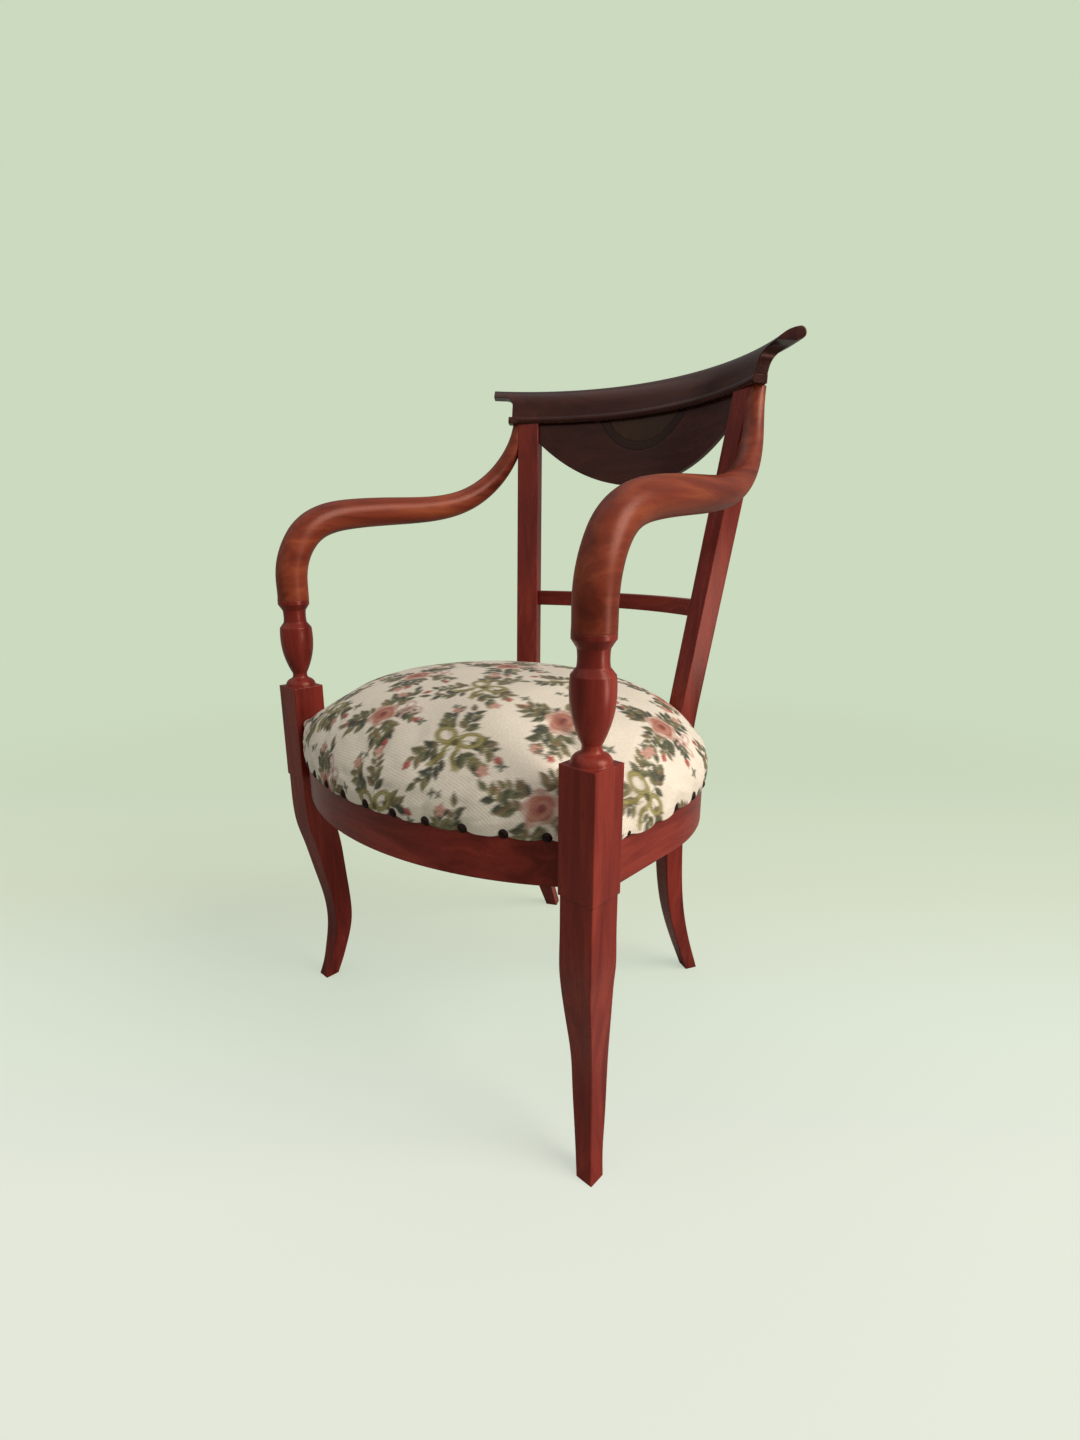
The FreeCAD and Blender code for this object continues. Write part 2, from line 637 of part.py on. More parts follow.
def arm_route():
    """Centre line of the left arm from its support to the crest."""
    rise = ARM_TOP_Z - ARM_START_Z
    rear = beside_stile(CREST_BOTTOM_Z)
    run = rear.y - LEG_Y
    drop = CREST_BOTTOM_Z - ARM_TOP_Z

    def along(share, x_share, z):
        return V(LEG_X + (rear.x - LEG_X) * x_share, LEG_Y + run * share, z)

    points = [
        V(LEG_X, LEG_Y, ARM_START_Z),
        V(LEG_X, LEG_Y + run * 0.012, ARM_START_Z + rise * 0.44),
        along(0.085, 0.04, ARM_START_Z + rise * 0.80),
        along(0.25, 0.09, ARM_TOP_Z - rise * 0.025),
        along(0.49, 0.21, ARM_TOP_Z + rise * 0.04),
        along(0.765, 0.48, ARM_TOP_Z + drop * 0.18),
        along(0.925, 0.79, ARM_TOP_Z + drop * 0.53),
        beside_stile(CREST_BOTTOM_Z + ARM_END_RADIUS),
    ]
    up_stile = (points[-1] - rear).normalize()
    route = Part.BSplineCurve()
    route.interpolate(Points=points, InitialTangent=UP, FinalTangent=up_stile, Scale=False)
    return route


def arm(stile):
    """Left arm, flat where it meets the stile and cut off under the crest."""
    route = arm_route()
    length = route.length()
    sections = []
    for index in range(ARM_SECTIONS + 1):
        share = index / ARM_SECTIONS
        parameter = route.parameterAtDistance(length * share, route.FirstParameter)
        direction = V(*route.tangent(parameter)[0])
        taper = max(0.0, (share - ARM_TAPER_START) / (1 - ARM_TAPER_START)) ** ARM_TAPER_POWER
        radius = SUPPORT_TOP_RADIUS + (ARM_END_RADIUS - SUPPORT_TOP_RADIUS) * taper
        ring = Part.Wire(Part.makeCircle(radius))
        ring.Placement = FreeCAD.Placement(route.value(parameter), FreeCAD.Rotation(UP, direction))
        sections.append(ring)
    body = Part.makeLoft(sections, True)
    outer_face = turned(stile_width_centre(CREST_BOTTOM_Z) + STILE_WIDTH / 2, 0.0, CREST_BOTTOM_Z)
    inward = turned(-1.0, 0.0, STILE_SPREAD)
    mortise = Part.makeCylinder(
        TENON_RADIUS + GLUE_GAP, TENON_LENGTH + 1.0, V(LEG_X, LEG_Y, ARM_START_Z), UP
    )
    body = body.cut([half_space_above(outer_face, inward), above_crest_bottom(), mortise])
    return max(body.cut(stile).Solids, key=lambda solid: solid.Volume)


def rear_split():
    """Zone of the back rail, between upright planes through the middles of the two rear legs."""
    across = stile_width_centre(RAIL_BOTTOM_Z)
    inside = turned(across, 0.0)
    outside = turned(across, REACH / 2)
    points = [inside, outside, V(-outside.x, outside.y, 0), V(-inside.x, inside.y, 0)]
    return face_of(polygon_edges(points)).extrude(V(0, 0, REACH))


def seat_rails(front_legs, rear_legs):
    """Front, left, right and back rails, let into the legs."""
    top = RAIL_TOP_Z
    ring = seat_prism(0.0, RAIL_BOTTOM_Z, top).cut(seat_well(RAIL_BOTTOM_Z - 1, top + 1))
    ring = ring.cut(front_legs + rear_legs)
    inner_x = SEAT_HALF_WIDTH - RAIL_THICKNESS
    front_zone = Part.makeBox(2 * inner_x, REACH, REACH, V(-inner_x, SIDE_STRAIGHT_END_Y - REACH, 0))
    left_zone = Part.makeBox(REACH, 2 * REACH, REACH, V(0, -REACH, 0))
    front = middle_solid(ring.common(front_zone))
    back = middle_solid(ring.common(rear_split()))
    left = ring.cut([front_zone, rear_split()]).common(left_zone)
    left = max(left.Solids, key=lambda solid: solid.Volume)
    left = left.fuse(rail_tenon(0.0)).cut([front]).removeSplitter()
    return front, left, mirrored(left), back


def corner_frames():
    """Place and outward direction of the left front and left rear corner blocks."""
    inner_x = SEAT_HALF_WIDTH - RAIL_THICKNESS
    radius = FRONT_BOW_RADIUS - RAIL_THICKNESS
    corner = V(inner_x, bow_y(inner_x, radius), 0)
    bow_normal = V(corner.x, corner.y - FRONT_BOW_CENTRE_Y, 0).normalize()
    front_direction = (bow_normal + V(1, 0, 0)).normalize()
    rear_direction = turned(0.0, 1.0)
    across = stile_width_centre(RAIL_BOTTOM_Z)
    rear_z = RAIL_BOTTOM_Z + RAIL_HEIGHT / 2
    ray = line(turned(across, 0.0, rear_z), turned(across, REACH, rear_z))
    inner = ray.common(seat_well(RAIL_BOTTOM_Z, RAIL_TOP_Z))
    ends = [vertex.Point for vertex in inner.Vertexes]
    rear_corner = max(ends, key=lambda point: point.dot(rear_direction))
    return (corner, front_direction), (V(rear_corner.x, rear_corner.y, 0), rear_direction)


def corner_block(corner, direction):
    """Block that fills the seat well behind one joint of the rails."""
    bottom = RAIL_BOTTOM_Z + CORNER_BLOCK_LIFT
    blank = Part.makeBox(
        CORNER_BLOCK_LENGTH, CORNER_BLOCK_DEPTH * 2, CORNER_BLOCK_HEIGHT,
        V(-CORNER_BLOCK_LENGTH / 2, -CORNER_BLOCK_DEPTH, 0),
    )
    angle = math.degrees(math.atan2(direction.y, direction.x)) - 90
    blank.rotate(V(0, 0, 0), UP, angle)
    blank.translate(V(corner.x, corner.y, bottom))
    return blank.common(seat_well(bottom - 1, bottom + CORNER_BLOCK_HEIGHT + 1))


def wood_screw(start, direction, length):
    """Countersunk screw whose head lies flush at start."""
    head = Part.makeCone(SCREW_HEAD_RADIUS, SCREW_RADIUS, SCREW_HEAD_DEPTH, start, direction)
    neck = start + direction * SCREW_HEAD_DEPTH
    shank = Part.makeCylinder(SCREW_RADIUS, length - SCREW_HEAD_DEPTH, neck, direction)
    slot = Part.makeBox(
        2 * SCREW_HEAD_RADIUS, SCREW_SLOT_WIDTH, 2 * SCREW_SLOT_DEPTH,
        V(-SCREW_HEAD_RADIUS, -SCREW_SLOT_WIDTH / 2, -SCREW_SLOT_DEPTH),
    )
    slot.Placement = FreeCAD.Placement(start, FreeCAD.Rotation(UP, direction))
    return head.fuse(shank).removeSplitter().cut(slot)


def corner_screws(corner, direction):
    """Two screws through one block into the rails."""
    sideways = V(-direction.y, direction.x, 0)
    middle_z = RAIL_BOTTOM_Z + CORNER_BLOCK_LIFT + CORNER_BLOCK_HEIGHT / 2
    start = V(corner.x, corner.y, middle_z) - direction * CORNER_BLOCK_DEPTH
    offsets = (-BLOCK_SCREW_SPACING / 2, BLOCK_SCREW_SPACING / 2)
    return [wood_screw(start + sideways * offset, direction, BLOCK_SCREW_LENGTH) for offset in offsets]


def leg_screw(corner, direction):
    """Long screw through the rear block and rail into the rear leg."""
    middle_z = RAIL_BOTTOM_Z + CORNER_BLOCK_LIFT + CORNER_BLOCK_HEIGHT / 2
    start = V(corner.x, corner.y, middle_z) - direction * CORNER_BLOCK_DEPTH
    return wood_screw(start, direction, LEG_SCREW_LENGTH)


def dowel(middle, direction, length=DOWEL_LENGTH):
    axis = V(direction).normalize()
    return Part.makeCylinder(DOWEL_RADIUS, length, middle - axis * (length / 2), axis)


def joint_dowels():
    """Dowels on the left: stile to crest, arm to stile, middle rail to stile."""
    joint = crest_seat(CREST_THICKNESS / 2)
    up_stile = on_stile(CREST_BOTTOM_Z) - on_stile(STILE_STRAIGHT_Z)
    arm_z = CREST_BOTTOM_Z - ARM_END_RADIUS * 2
    arm_joint = turned(
        stile_width_centre(arm_z) + STILE_WIDTH / 2, stile_depth_centre(arm_z) - ARM_END_FORWARD / 2, arm_z
    )
    rail_radius = MID_RAIL_RADIUS + MID_RAIL_THICKNESS / 2
    rail_z = MID_RAIL_BOTTOM_Z + MID_RAIL_HEIGHT / 2
    inner = turned(stile_width_centre(rail_z) - STILE_WIDTH / 2, stile_depth_centre(rail_z))
    centre_y = mid_rail_centre_y()
    angle = math.atan2(inner.x, inner.y - centre_y)
    rail_end = V(rail_radius * math.sin(angle), centre_y + rail_radius * math.cos(angle), rail_z)
    return [
        dowel(joint, up_stile),
        dowel(arm_joint, turned(1.0, 0.0), DOWEL_LENGTH / 2),
        dowel(rail_end, turned(1.0, 0.0)),
    ]


def panel_dowels():
    """Three thin dowels from the panel up into the crest."""
    radius = CREST_RADIUS + PANEL_SETBACK + PANEL_THICKNESS / 2
    slope = V(0, PANEL_LEAN, 1).normalize()
    pieces = []
    half_angle = crest_angle(CREST_HALF_WIDTH) / 2
    for angle in (-half_angle, 0.0, half_angle):
        foot = V(0, radius, 0) - slope * (DOWEL_LENGTH / 2)
        pin = Part.makeCylinder(PANEL_DOWEL_RADIUS, DOWEL_LENGTH, foot, slope)
        pin.rotate(V(0, 0, 0), UP, angle)
        pin.Placement = back_placement().multiply(pin.Placement)
        pieces.append(pin)
    return pieces


def seat_plan(bottom, top, offset, gap):
    """Seat prism cut back from the blocks and stiles by a gap."""
    plan = seat_prism(offset, bottom, top)
    return plan.cut(leg_clearances(gap))


def leg_clearances(gap):
    """The four legs at seat height, grown by a gap."""
    side = BLOCK_SIDE + 2 * gap
    corner = V(LEG_X - side / 2, LEG_Y - side / 2, BLOCK_BOTTOM_Z)
    block = Part.makeBox(side, side, BLOCK_HEIGHT + gap, corner)
    stile = rear_leg(gap)
    return [block, mirrored(block), stile, mirrored(stile)]


def strap_ends(plan, start, direction):
    """The two ends of a line across the seat plan."""
    crossing = line(start - direction * REACH, start + direction * REACH).common(plan)
    points = [vertex.Point for vertex in crossing.Vertexes]
    points.sort(key=lambda point: point.dot(direction))
    return points[0], points[-1]


def tack(point, top):
    """Flat-headed tack driven down through a strap."""
    head = Part.makeCylinder(TACK_HEAD_RADIUS, TACK_HEAD_HEIGHT, V(point.x, point.y, top))
    shank = Part.makeCylinder(TACK_RADIUS, TACK_LENGTH, V(point.x, point.y, top - TACK_LENGTH))
    return head.fuse(shank).removeSplitter()


def webbing():
    """Straps front to back, straps side to side laid over them, and the tacks that hold their ends."""
    plan = seat_plan(RAIL_TOP_Z - 1, WEB_TOP_Z + 1, -WEB_EDGE_INSET, CLOTH_GAP)
    layers = ([], [])
    tacks = []
    for index in range(WEB_COUNT):
        place = (index - (WEB_COUNT - 1) / 2) * WEB_PITCH
        for layer, (middle, direction, sideways) in enumerate((
            (V(place, SEAT_MID_Y, 0), V(0, 1, 0), V(1, 0, 0)),
            (V(0, SEAT_MID_Y + place, 0), V(1, 0, 0), V(0, 1, 0)),
        )):
            bottom = RAIL_TOP_Z + layer * WEB_THICKNESS
            top = bottom + WEB_THICKNESS
            corner = middle - direction * REACH - sideways * (WEB_WIDTH / 2)
            size = direction * (2 * REACH) + sideways * WEB_WIDTH
            strap = Part.makeBox(size.x, size.y, WEB_THICKNESS, V(corner.x, corner.y, bottom))
            layers[layer].append(strap.common(plan))
            for side in (-TACK_SPACING / 2, TACK_SPACING / 2):
                at = V(middle.x, middle.y, bottom + WEB_THICKNESS / 2) + sideways * side
                first, last = strap_ends(plan, at, direction)
                tacks.append(tack(first + direction * TACK_INSET, top))
                tacks.append(tack(last - direction * TACK_INSET, top))
    return layers[0], layers[1], tacks


def seat_dome(offset, lift):
    """Crowned form over the seat plan, from the hessian up."""
    sections = [seat_outline(offset, PAD_BOTTOM_Z)]
    for scale, share, draw_in in CROWN_LEVELS:
        sections.append(seat_outline(offset, PAD_BOTTOM_Z + share * (CROWN_HEIGHT + lift), scale, draw_in))
    return Part.makeLoft(sections, True, True)


def stuffing_pad():
    return seat_dome(0.0, 0.0).cut(leg_clearances(CLOTH_GAP))


def seat_cover():
    """Cloth over the pad and down over the edge of the rails."""
    inside = CLOTH_GAP
    outside = CLOTH_GAP + COVER_THICKNESS
    outer = seat_dome(outside, outside).fuse(seat_prism(outside, COVER_BOTTOM_Z, PAD_BOTTOM_Z))
    inner = seat_dome(inside, inside).fuse(seat_prism(inside, COVER_BOTTOM_Z - 1, PAD_BOTTOM_Z))
    return outer.cut(inner).cut(leg_clearances(CLOTH_GAP))


def cover_nail(point, outward):
    """Domed nail whose head sits on the cloth at point."""
    sphere_radius = (NAIL_HEAD_RADIUS ** 2 + NAIL_HEAD_HEIGHT ** 2) / (2 * NAIL_HEAD_HEIGHT)
    base = sphere_radius - NAIL_HEAD_HEIGHT
    latitude = math.degrees(math.asin(base / sphere_radius))
    head = Part.makeSphere(sphere_radius, point - outward * base, outward, latitude, 90, 360)
    shank = Part.makeCylinder(NAIL_SHANK_RADIUS, NAIL_LENGTH, point - outward * NAIL_LENGTH, outward)
    return head.fuse(shank).removeSplitter()


def cover_nails():
    """Nails at one pitch round the seat, left out where the legs stand."""
    wire = seat_outline(CLOTH_GAP + COVER_THICKNESS, NAIL_Z)
    pitch = wire.Length / NAIL_COUNT
    legs = leg_clearances(NAIL_HEAD_RADIUS)
    nails = []
    for sign in (1, -1):
        walked = 0.0
        due = pitch / 2
        for edge in half_outline(CLOTH_GAP + COVER_THICKNESS, NAIL_Z, sign):
            while due <= walked + edge.Length:
                parameter = edge.getParameterByLength(due - walked)
                point = edge.valueAt(parameter)
                along = edge.tangentAt(parameter)
                outward = V(along.y, -along.x, 0) * sign
                if not any(leg.isInside(point, 0.1, True) for leg in legs):
                    nails.append(cover_nail(point, outward))
                due += pitch
            walked += edge.Length
    return nails


def with_holes(shape, tools):
    """The piece with every fastener that reaches into it cut out."""
    near = [tool for tool in tools if shape.BoundBox.intersect(tool.BoundBox)]
    return shape.cut(near) if near else shape


def both_sides(shapes):
    return shapes + [mirrored(shape) for shape in shapes]


def build_pieces():
    left_front = front_leg()
    left_rear = rear_leg()
    rear_legs = [left_rear, mirrored(left_rear)]
    front_legs = [left_front, mirrored(left_front)]
    left_arm = arm(left_rear)
    panel, band, half_moon = back_panel(rear_legs)
    front_rail, left_rail, right_rail, back_rail = seat_rails(front_legs, rear_legs)
    front_corner, rear_corner = corner_frames()
    lengthwise, crosswise, tacks = webbing()
    hessian = seat_plan(PAD_BOTTOM_Z - HESSIAN_THICKNESS, PAD_BOTTOM_Z, -WEB_EDGE_INSET, CLOTH_GAP)

    wood = {
        "front_leg_left": front_legs[0],
        "front_leg_right": front_legs[1],
        "rear_leg_left": rear_legs[0],
        "rear_leg_right": rear_legs[1],
        "arm_left": left_arm,
        "arm_right": mirrored(left_arm),
        "crest_rail": crest_rail(),
        "back_panel": panel,
        "inlay_band": band,
        "inlay_half_moon": half_moon,
        "mid_rail": mid_rail(rear_legs),
        "seat_rail_front": front_rail,
        "seat_rail_left": left_rail,
        "seat_rail_right": right_rail,
        "seat_rail_back": back_rail,
    }
    for name, (corner, direction) in (("front", front_corner), ("rear", rear_corner)):
        wood["corner_block_%s_left" % name] = corner_block(corner, direction)
        wood["corner_block_%s_right" % name] = mirrored(wood["corner_block_%s_left" % name])
    fasteners = {
        "block_screws": both_sides(corner_screws(*front_corner) + corner_screws(*rear_corner)),
        "leg_screws": both_sides([leg_screw(*rear_corner)]),
        "joint_dowels": both_sides(joint_dowels()),
        "panel_dowels": panel_dowels(),
        "webbing_tacks": tacks,
        "cover_nails": cover_nails(),
    }
    cloth = {
        "webbing_front_to_back": Part.makeCompound(lengthwise),
        "webbing_side_to_side": Part.makeCompound(crosswise),
        "hessian": hessian,
        "stuffing_pad": stuffing_pad(),
        "seat_cover": seat_cover(),
    }
    tools = [tool for group in fasteners.values() for tool in group]
    pieces = {node: with_holes(shape, tools) for node, shape in {**wood, **cloth}.items()}
    pieces.update({node: Part.makeCompound(group) for node, group in fasteners.items()})
    return pieces


os.makedirs("parts", exist_ok=True)
for node, shape in build_pieces().items():
    shape.translate(V(0, DATUM_Y, 0))
    shape.exportStep("parts/%s.step" % node)
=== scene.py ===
"""Open armchair: turned mahogany frame, curved crest, inlaid back panel, tapestry seat on webbing."""
from math import radians

import bpy
import numpy as np
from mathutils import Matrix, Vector


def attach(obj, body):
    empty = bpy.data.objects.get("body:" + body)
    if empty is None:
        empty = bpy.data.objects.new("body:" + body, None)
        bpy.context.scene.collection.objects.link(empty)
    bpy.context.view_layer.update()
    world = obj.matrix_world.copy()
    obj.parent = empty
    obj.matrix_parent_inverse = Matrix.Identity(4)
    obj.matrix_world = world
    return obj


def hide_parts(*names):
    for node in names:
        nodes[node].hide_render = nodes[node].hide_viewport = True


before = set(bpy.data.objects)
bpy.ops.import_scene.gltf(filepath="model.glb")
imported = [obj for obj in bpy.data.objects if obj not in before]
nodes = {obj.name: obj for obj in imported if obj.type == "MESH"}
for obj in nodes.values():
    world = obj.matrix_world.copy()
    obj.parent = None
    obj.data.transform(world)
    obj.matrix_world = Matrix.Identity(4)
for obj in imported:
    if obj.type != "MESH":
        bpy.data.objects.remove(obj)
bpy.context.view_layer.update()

MM = 0.001

# Seat plan, in millimetres, as the part's source has it.
SEAT_MIDDLE_Y = -53.8
SEAT_HALF_WIDTH = 264.0
SEAT_FRONT_Y = -277.8
BOW_RADIUS = 388.0
OVAL_START_Y = -61.8
OVAL_DEPTH = 232.0
CORNER_BULGE = 7.0
BLOCK_INNER_X = 233.5
BLOCK_BACK_Y = -174.2
BLOCK_SIDE = 42.0
STILE_TURN = 27.0
STILE_ACROSS = (73.0, 107.0)
STILE_DEEP = (128.0, 160.0)
STILE_DATUM_Y = 58.2

# Seat cover, in millimetres. A crown level is an outline scale, a share of the crown's height and the
# draw-in of the front corners.
CLOTH_OFFSET = 2.2
HEM_Z = 378.5
NAIL_COUNT = 38
PAD_BOTTOM_Z = 406.9
CROWN_HEIGHT = 79.2
CROWN_LEVELS = (
    (1.012, 0.036, -4.0),
    (1.016, 0.080, 4.0),
    (1.000, 0.185, 75.0),
    (0.950, 0.343, 96.0),
    (0.860, 0.524, 98.0),
    (0.720, 0.712, 96.0),
    (0.520, 0.876, 94.0),
    (0.280, 0.973, 55.0),
    (0.090, 1.000, 14.0),
)
LEG_CLEARANCE = 0.6
STUFFING_INSIDE = 7.0
STUFFING_LIFT = 0.2

# Points along the front bow, a corner and the oval of half the outline, round and down the seat's table,
# along a side of the cover's grid, and round and down the pad.
BOW_POINTS = 60
CORNER_POINTS = 40
OVAL_POINTS = 90
TABLE_ANGLES = 721
TABLE_ROWS = 260
COVER_GRID = 155
PAD_COLUMNS = 144
PAD_ROWS = 25

# Spans, in rows of the table, over which stretched cloth bridges a hollow, and how often all are tried.
BRIDGE_SPANS = (48, 24, 12, 6, 3)
BRIDGE_ROUNDS = 16

# Degrees by which the corners of a disc grid turn towards the legs: all of them, and more at the front.
CORNER_TURN = 18.8
CORNER_TURN_FRONT = 8.77

# Cover beside its nails, in millimetres. A hem fold is a distance inward and a distance up.
PINCH_REACH = 8.0
PINCH_DEPTH = 2.3
PUFF = 1.5
PUFF_START = 12.0
PUFF_EASE = 26.0
LEG_EASE = 14.0
HEM_EASE = 12.0
HEM_RISE = 2.4
HEM_SAG = 0.4
HEM_FOLDS = ((0.8, -0.2), (1.4, 1.2), (1.5, 7.0))

# Cloth simulation, with lengths in millimetres and the mass of a point in kilograms.
CLOTH_START_INSIDE = 3.0
CLOTH_CAP = 6.0
CLOTH_PRESSURE = 4.0
CLOTH_MASS = 0.01
CLOTH_QUALITY = 5
CLOTH_FRAMES = 20
CLOTH_HELD_ROWS = 3

# Webbing and hessian, in millimetres.
WEB_WIDTH = 50.0
WEB_THICKNESS = 1.5
WEB_DRAWN_THICKNESS = 1.1
WEB_COUNT = 4
WEB_PITCH = 86.0
WEB_BOTTOM_Z = 402.0
WEB_WEAVE_RISE = 0.8
WEB_WEAVE_EASE = 20.0
WEB_WEAVE_PITCHES = 1.9
WEB_WEAVE_FLATNESS = 0.4
WEB_COLUMNS = 15
WEB_ROWS = 90
WEB_ENDS_FROM_MIDDLE = (60, 40)
EDGE_INSET = 5.0
HESSIAN_Z = 406.2
HESSIAN_RIPPLE = 0.12
HESSIAN_RIPPLE_LENGTHS = (9.0, 11.0)
HESSIAN_GRID = 61


# Meshes

def grid_faces(rows, columns, first=0):
    """Quads of a grid stored row by row."""
    start = first + np.arange(rows - 1)[:, None] * columns + np.arange(columns - 1)[None, :]
    start = start.ravel()
    return np.stack([start, start + 1, start + columns + 1, start + columns], 1)


def put_object(name, data):
    """An object for a mesh, a lamp or a camera, linked into the scene."""
    obj = bpy.data.objects.new(name, data)
    bpy.context.scene.collection.objects.link(obj)
    return obj


def put_mesh(name, points, face_sets, material):
    """A smooth mesh object at the origin, from points in millimetres and arrays of faces."""
    faces = [face for face_set in face_sets for face in face_set.tolist()]
    mesh = bpy.data.meshes.new(name)
    mesh.from_pydata((np.asarray(points) * MM).tolist(), [], faces)
    mesh.polygons.foreach_set("use_smooth", np.ones(len(mesh.polygons), bool))
    mesh.materials.append(material)
    return put_object(name, mesh)


# Materials

# A wave texture at scale 1 repeats every 2 pi / 20 m, so this over a period in millimetres is its scale.
WAVE_SCALE = 100 * np.pi

# Sizes of the wood's patterns across the grain and along it, in metres.
RIBBON = (0.014, 0.16)
CLOUD = (0.06, 0.22)
PORE = (0.0012, 0.024)


def linear(colour):
    """Linear RGBA of an sRGB hex colour: v / 12.92 when dark, else ((v + 0.055) / 1.055) ^ 2.4."""
    value = np.array([int(colour[start:start + 2], 16) for start in (1, 3, 5)]) / 255
    value = np.where(value <= 0.04045, value / 12.92, ((value + 0.055) / 1.055) ** 2.4)
    return (*value.tolist(), 1.0)


def wire(tree, node, sockets):
    """Sets each named socket of a node to a value, or links it to another node's output."""
    for socket, value in sockets.items():
        if isinstance(value, bpy.types.NodeSocket):
            tree.links.new(value, node.inputs[socket])
        else:
            node.inputs[socket].default_value = value


def add(tree, kind, sockets=None, ramp=None, **settings):
    """One shader node with its settings, its socket values or links, and its colour stops."""
    node = tree.nodes.new("ShaderNode" + kind)
    for name, value in settings.items():
        setattr(node, name, value)
    wire(tree, node, sockets or {})
    for index, (place, colour) in enumerate(ramp or ()):
        stops = node.color_ramp.elements
        stop = stops[index] if index < 2 else stops.new(place)
        stop.position = place
        stop.color = linear(colour) if isinstance(colour, str) else (colour, colour, colour, 1.0)
    return node


def new_material(name):
    """An empty material with its shader and output joined."""
    material = bpy.data.materials.new(name)
    material.use_nodes = True
    tree = material.node_tree
    tree.nodes.clear()
    shader = add(tree, "BsdfPrincipled")
    add(tree, "OutputMaterial", {"Surface": shader.outputs["BSDF"]})
    return material, tree, shader


def polished_wood(name, stops, pore_colour, worn_colour, grain, gloss=(0.2, 0.32)):
    """Straight-grained cabinet wood under an old rubbed spirit polish.

    The eye gets ribbon figure about 14 mm wide, clouded colour, short dark pores, and edges rubbed lighter.
    Real pores are 0.2 mm wide; they are drawn about 1 mm wide so that they show.
    """
    material, tree, shader = new_material(name)
    coords = add(tree, "TexCoord").outputs["Object"]
    stretched = []
    for across, along in (RIBBON, CLOUD, PORE):
        scale = [1 / across] * 3
        scale[grain] = 1 / along
        stretched.append(add(tree, "Mapping", {"Vector": coords, "Scale": scale}).outputs[0])
    ribbon = add(tree, "TexNoise", {"Vector": stretched[0], "Scale": 1.0, "Detail": 4.0, "Distortion": 0.7})
    cloud = add(tree, "TexNoise", {"Vector": stretched[1], "Scale": 1.0, "Detail": 2.0})
    pores = add(tree, "TexNoise", {"Vector": stretched[2], "Scale": 1.0, "Detail": 2.0, "Roughness": 0.6})
    both = add(tree, "Mix", {0: 0.5, 2: ribbon.outputs["Fac"], 3: cloud.outputs["Fac"]}, data_type="FLOAT")
    figure = add(tree, "ValToRGB", {"Fac": both.outputs[0]}, ramp=stops)
    pore_mask = add(tree, "ValToRGB", {"Fac": pores.outputs["Fac"]}, ramp=((0.58, 0.0), (0.72, 1.0)))
    pore_share = add(tree, "Math", {0: pore_mask.outputs["Color"], 1: 0.4}, operation="MULTIPLY")
    grained = add(tree, "Mix", {0: pore_share.outputs[0], 6: figure.outputs["Color"],
                                7: linear(pore_colour)}, data_type="RGBA")
    rounded = add(tree, "Bevel", {"Radius": 0.002}, samples=6)
    flat = add(tree, "NewGeometry")
    bend = add(tree, "VectorMath", {0: rounded.outputs[0], 1: flat.outputs["Normal"]},
               operation="DOT_PRODUCT")
    edge = add(tree, "MapRange", {"Value": bend.outputs["Value"], 1: 0.995, 2: 0.90, 3: 0.0, 4: 0.3})
    patchy = add(tree, "Math", {0: edge.outputs[0], 1: cloud.outputs["Fac"]}, operation="MULTIPLY")
    rubbed = add(tree, "Mix", {0: patchy.outputs[0], 6: grained.outputs[2], 7: linear(worn_colour)},
                 data_type="RGBA")
    rough = add(tree, "MapRange", {"Value": both.outputs[0], 1: 0.3, 2: 0.7, 3: gloss[0], 4: gloss[1]})
    bump = add(tree, "Bump", {"Height": pore_mask.outputs["Color"], "Strength": 0.1, "Distance": 0.0004,
                              "Normal": rounded.outputs[0]}, invert=True)
    wire(tree, shader, {"Base Color": rubbed.outputs[2], "Roughness": rough.outputs[0],
                        "Normal": bump.outputs[0], "IOR": 1.5, "Specular IOR Level": 0.4,
                        "Specular Tint": linear("#ffc4b0")})
    return material


def iron_fastening(name, stops, roughness, pit_mm):
    """Small forged or turned iron fastenings: mottled oxide over metal."""
    material, tree, shader = new_material(name)
    coords = add(tree, "TexCoord").outputs["Object"]
    mottle = add(tree, "TexNoise", {"Vector": coords, "Scale": 1000 / pit_mm, "Detail": 3.0})
    colour = add(tree, "ValToRGB", {"Fac": mottle.outputs["Fac"]}, ramp=stops)
    rough = add(tree, "MapRange", {"Value": mottle.outputs["Fac"], 1: 0.3, 2: 0.7,
                                   3: roughness[0], 4: roughness[1]})
    bump = add(tree, "Bump", {"Height": mottle.outputs["Fac"], "Strength": 0.15, "Distance": 0.0003})
    wire(tree, shader, {"Base Color": colour.outputs["Color"], "Roughness": rough.outputs[0],
                        "Normal": bump.outputs[0], "Metallic": 0.85})
    return material


